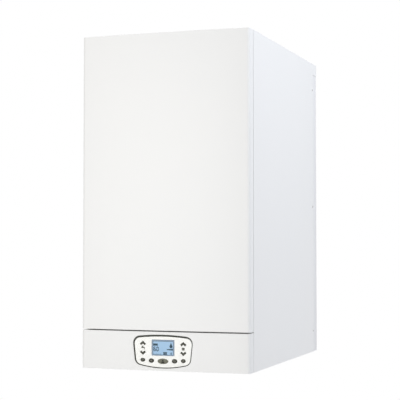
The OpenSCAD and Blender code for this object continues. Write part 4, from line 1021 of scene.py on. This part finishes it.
# a sign that lies on its key's crown, in small faces that can follow it
def keySign(node, x, z, a, b):
    bm = drawSign(keySigns[node], x, z)
    bmesh.ops.triangulate(bm, faces=bm.faces)
    bmesh.ops.subdivide_edges(bm, edges=bm.edges, cuts=2, use_grid_fill=True)
    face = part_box(node)[0].y
    finish = "key_ink" if node == "menu_key" else "key_pale_ink"
    sign = placeSigns(node + "Sign", bm, face, finish, node, "key")
    for vert in sign.data.vertices:
        reach = math.hypot((vert.co.x / mm - x) / a, ((vert.co.z - caseBottom) / mm - z) / b)
        vert.co.y += crownDrop(reach) * mm


for node, place in keyValues.items():
    makeKey(node, *place)
for node, place in keyValues.items():
    keySign(node, *place)
print("display, keys and signs are made")


# Screws: heads with a cross recess, some raised and some sunk flush

screwHead = ((1.9, 0), (3.8, 0), (3.8, 0.9), (3.6, 1.5), (3.05, 1.87), (2.35, 2.0))
screwValues = {
    # profiles from the shank's end to the head's flat middle: radius and height, in millimetres
    "raised": ((1.9, -10), *screwHead),
    "short": ((1.9, -5), *screwHead),
    "sunk": ((1.9, -10), (1.9, -1.9), (3.7, -0.12), (3.6, -0.04), (2.35, -0.04)),
    "segments": 24,
    # recess: reach and half width of its arms, depth, and width of its floor as a share
    "reach": 2.0,
    "half": 0.5,
    "deep": 0.9,
    "floor": 0.6,
}


# the shank and head, left open at the flat middle; gives back the edges there and their height
def addHead(bm, profile):
    radius, z = profile[0]
    low = Matrix.Translation((0, 0, z))
    sides = screwValues["segments"]
    ring = bmesh.ops.create_circle(bm, cap_ends=True, segments=sides, radius=radius, matrix=low)["verts"]
    edges = [e for e in bm.edges if e.verts[0] in ring and e.verts[1] in ring]
    for wide, z in profile[1:]:
        verts, edges = extrudeRing(bm, edges)
        for vert in verts:
            vert.co = (vert.co.x * wide / radius, vert.co.y * wide / radius, z)
        radius = wide
    return edges, z


# closes the head with a cross recess
def addCross(bm, edges, z):
    reach, half, floor = screwValues["reach"], screwValues["half"], screwValues["floor"]
    corners = []
    for quarter in range(4):
        turn = Matrix.Rotation(math.radians(90 * quarter), 4, "Z")
        for x, y in ((reach, -half), (reach, half), (half, half)):
            corners.append(bm.verts.new(turn @ Vector((x, y, z))))
    cross = [bm.edges.new((corners[i - 1], corners[i])) for i in range(len(corners))]
    bmesh.ops.bridge_loops(bm, edges=edges + cross)
    verts, floorEdges = extrudeRing(bm, cross)
    for vert in verts:
        vert.co = (vert.co.x * floor, vert.co.y * floor, z - screwValues["deep"])
    bmesh.ops.contextual_create(bm, geom=floorEdges)


def addScrew(bm, place, profile, size=1.0):
    count = len(bm.verts)
    addCross(bm, *addHead(bm, profile))
    bm.verts.ensure_lookup_table()
    bmesh.ops.transform(bm, matrix=place @ Matrix.Diagonal((size, size, size, 1)), verts=bm.verts[count:])


# where a screw stands: a point in millimetres, and the axis that its head looks along
def screwPlace(x, y, z, axis, turned=0.0):
    look = Vector(axis).to_track_quat("Z", "Y").to_matrix().to_4x4()
    return Matrix.Translation((x, y, z)) @ look @ Matrix.Rotation(math.radians(turned), 4, "Z")


def onCircle(u, w, radius, angle):
    a = math.radians(angle)
    return u + radius * math.cos(a), w + radius * math.sin(a)


casingScrewValues = {
    # places in millimetres, angles in degrees
    "collars": {"x": 75, "y": -85, "circle": 66.4, "z": 70.8, "angles": (45, 135, 225, 315)},
    "sides": {"y": -47.5, "z": (-9, -355, -719)},
    # how far the first recess is turned, and each from the one before
    "first": 47,
    "turn": 37,
}


def casingScrews(v):
    bm = bmesh.new()
    collars, sides = v["collars"], v["sides"]
    turned = v["first"]
    for side in (-1, 1):
        for angle in collars["angles"]:
            x, y = onCircle(side * collars["x"], collars["y"], collars["circle"], angle)
            addScrew(bm, screwPlace(x, y, collars["z"], (0, 0, 1), turned), screwValues["raised"])
            turned += v["turn"]
        for z in sides["z"]:
            x = side * casing["width"] / 2 / mm
            addScrew(bm, screwPlace(x, sides["y"], z, (side, 0, 0), turned), screwValues["sunk"])
            turned += v["turn"]
    bmesh.ops.scale(bm, vec=(mm, mm, mm), verts=bm.verts)
    return bm


screws = toObject("casingScrews", casingScrews(casingScrewValues), "zinc_steel", "casing")
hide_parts("casing_screws")


innerScrewValues = {
    # places in millimetres, angles in degrees, sizes as shares of the casing's screws
    # the fan's screws follow its spiral housing, which grows from the tongue to the end
    "fan": {"x": 40, "y": -531, "z": -430, "tongue": 120, "end": -180, "inner": 80, "outer": 102,
            "angles": (75, 15, -45, -105, -150)},
    "motor": {"x": -44, "circle": 46.5, "angles": (30, 150, 270), "size": 0.85},
    "elbow": {"y": -569.5, "z": -148.8, "circle": 45, "angles": (45, 135, 225, 315)},
    "valve": {"x": 130, "y": (-453, -421), "z": (-451, -411), "size": 0.8},
    "brackets": {"x": 189, "y": -542, "z": -741, "turned": 20},
    "transformer": {"x": 218.8, "y": (-606, -534), "z": -273.8, "size": 0.85},
}


def fanScrews(bm, fan, motor):
    for angle in fan["angles"]:
        share = (fan["tongue"] - angle) / (fan["tongue"] - fan["end"])
        radius = fan["inner"] + (fan["outer"] - fan["inner"]) * share
        y, z = onCircle(fan["y"], fan["z"], radius, angle)
        addScrew(bm, screwPlace(fan["x"], y, z, (1, 0, 0), angle), screwValues["raised"])
    for angle in motor["angles"]:
        y, z = onCircle(fan["y"], fan["z"], motor["circle"], angle)
        place = screwPlace(motor["x"], y, z, (-1, 0, 0), angle)
        addScrew(bm, place, screwValues["raised"], motor["size"])


def innerScrews(v):
    bm = bmesh.new()
    fanScrews(bm, v["fan"], v["motor"])
    elbow, valve, brackets, transformer = v["elbow"], v["valve"], v["brackets"], v["transformer"]
    for angle in elbow["angles"]:
        x, z = onCircle(0, elbow["z"], elbow["circle"], angle)
        addScrew(bm, screwPlace(x, elbow["y"], z, (0, -1, 0), angle / 2), screwValues["raised"])
    for y in valve["y"]:
        for z in valve["z"]:
            place = screwPlace(valve["x"], y, z, (1, 0, 0), z)
            addScrew(bm, place, screwValues["raised"], valve["size"])
    for side in (-1, 1):
        x, turned = side * brackets["x"], side * brackets["turned"]
        place = screwPlace(x, brackets["y"], brackets["z"], (0, -1, 0), turned)
        addScrew(bm, place, screwValues["raised"])
    for y in transformer["y"]:
        place = screwPlace(transformer["x"], y, transformer["z"], (-1, 0, 0), y)
        addScrew(bm, place, screwValues["short"], transformer["size"])
    bmesh.ops.scale(bm, vec=(mm, mm, mm), verts=bm.verts)
    return bm


toObject("innerScrews", innerScrews(innerScrewValues), "zinc_steel", "casing")


# Threaded ends of the pipes under the bottom plate

threadValues = {
    # lengths in millimetres; pitch and depth are those of a G 1 and a G 1 1/4 thread
    "pitch": 2.309,
    "depth": 1.48,
    "steps": 36,
    "weld": 0.01,
    # where the plain pipe is cut off, how far below that the thread starts, and its plain end
    "cut": -757.05,
    "start": 0.5,
    "lip": 3.0,
    # core: sides, wall, how far it stands out of the groove and up into the pipe, its bevels
    "sides": 48,
    "wall": 3.4,
    "out": 0.05,
    "up": 2,
    "nose": (0.9, 1.0),
    "mouth": 0.6,
}
mountOf = {row["name"]: row for row in frame["record"]["mounts"]}


# points given as radius and height, turned round an upright axis and sunk by drop with each turn
def addTurned(bm, x, y, points, steps, turns=1, drop=0.0):
    verts = [bm.verts.new((x + r, y, z)) for r, z in points]
    edges = [bm.edges.new((verts[i], verts[i + 1])) for i in range(len(verts) - 1)]
    bmesh.ops.spin(
        bm, geom=verts + edges, cent=(x, y, 0), axis=(0, 0, 1), dvec=(0, 0, -drop / steps),
        angle=math.radians(360 * turns), steps=steps * turns, use_merge=not drop,
    )


def threadEnd(x, y, crest, low, v):
    bm = bmesh.new()
    root = crest - v["depth"]
    top = v["cut"] - v["start"]
    turns = int((v["cut"] - low - v["lip"]) / v["pitch"]) - 1
    ridge = ((root, top), (crest, top - v["pitch"] / 2), (root, top - v["pitch"]))
    addTurned(bm, x, y, ridge, v["steps"], turns, v["pitch"])
    bmesh.ops.remove_doubles(bm, verts=bm.verts, dist=v["weld"])
    bore, outer, high = root - v["wall"], root + v["out"], v["cut"] + v["up"]
    noseDepth, noseHeight = v["nose"]
    core = (
        (outer, high), (outer, low + noseHeight), (root - noseDepth, low),
        (bore + v["mouth"], low), (bore, low + v["mouth"]), (bore, high),
    )
    addTurned(bm, x, y, core, v["sides"])
    bmesh.ops.scale(bm, vec=(mm, mm, mm), verts=bm.verts)
    return bm


# the frame's pipe without its plain end, which the threaded end takes the place of
def pipeWithThread(node, mount, body):
    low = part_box(node)[0].z / mm
    slot = slotOf[node]
    bm = bmesh.new()
    bm.from_mesh(nodes[node].data)
    bmesh.ops.remove_doubles(bm, verts=bm.verts, dist=softenValues["weld"])
    geom = list(bm.verts) + list(bm.edges) + list(bm.faces)
    bmesh.ops.bisect_plane(
        bm, geom=geom, plane_co=(0, 0, threadValues["cut"] * mm), plane_no=(0, 0, 1), clear_inner=True
    )
    pipe = toObject(node + "Pipe", bm, slot, body)
    soften(pipe, softEdge[slot])
    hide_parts(node)
    x, y, _ = mountOf[mount]["pos_m"]
    thread = threadEnd(x / mm, y / mm, mountOf[mount]["dims"]["r_mm"], low, threadValues)
    smoothRound(toObject(node + "Thread", thread, slot, body))


for service in ("flow", "return", "gas"):
    pipeWithThread(service + "_pipe", service + "_thread", "casing")
print("screws and threads are made")
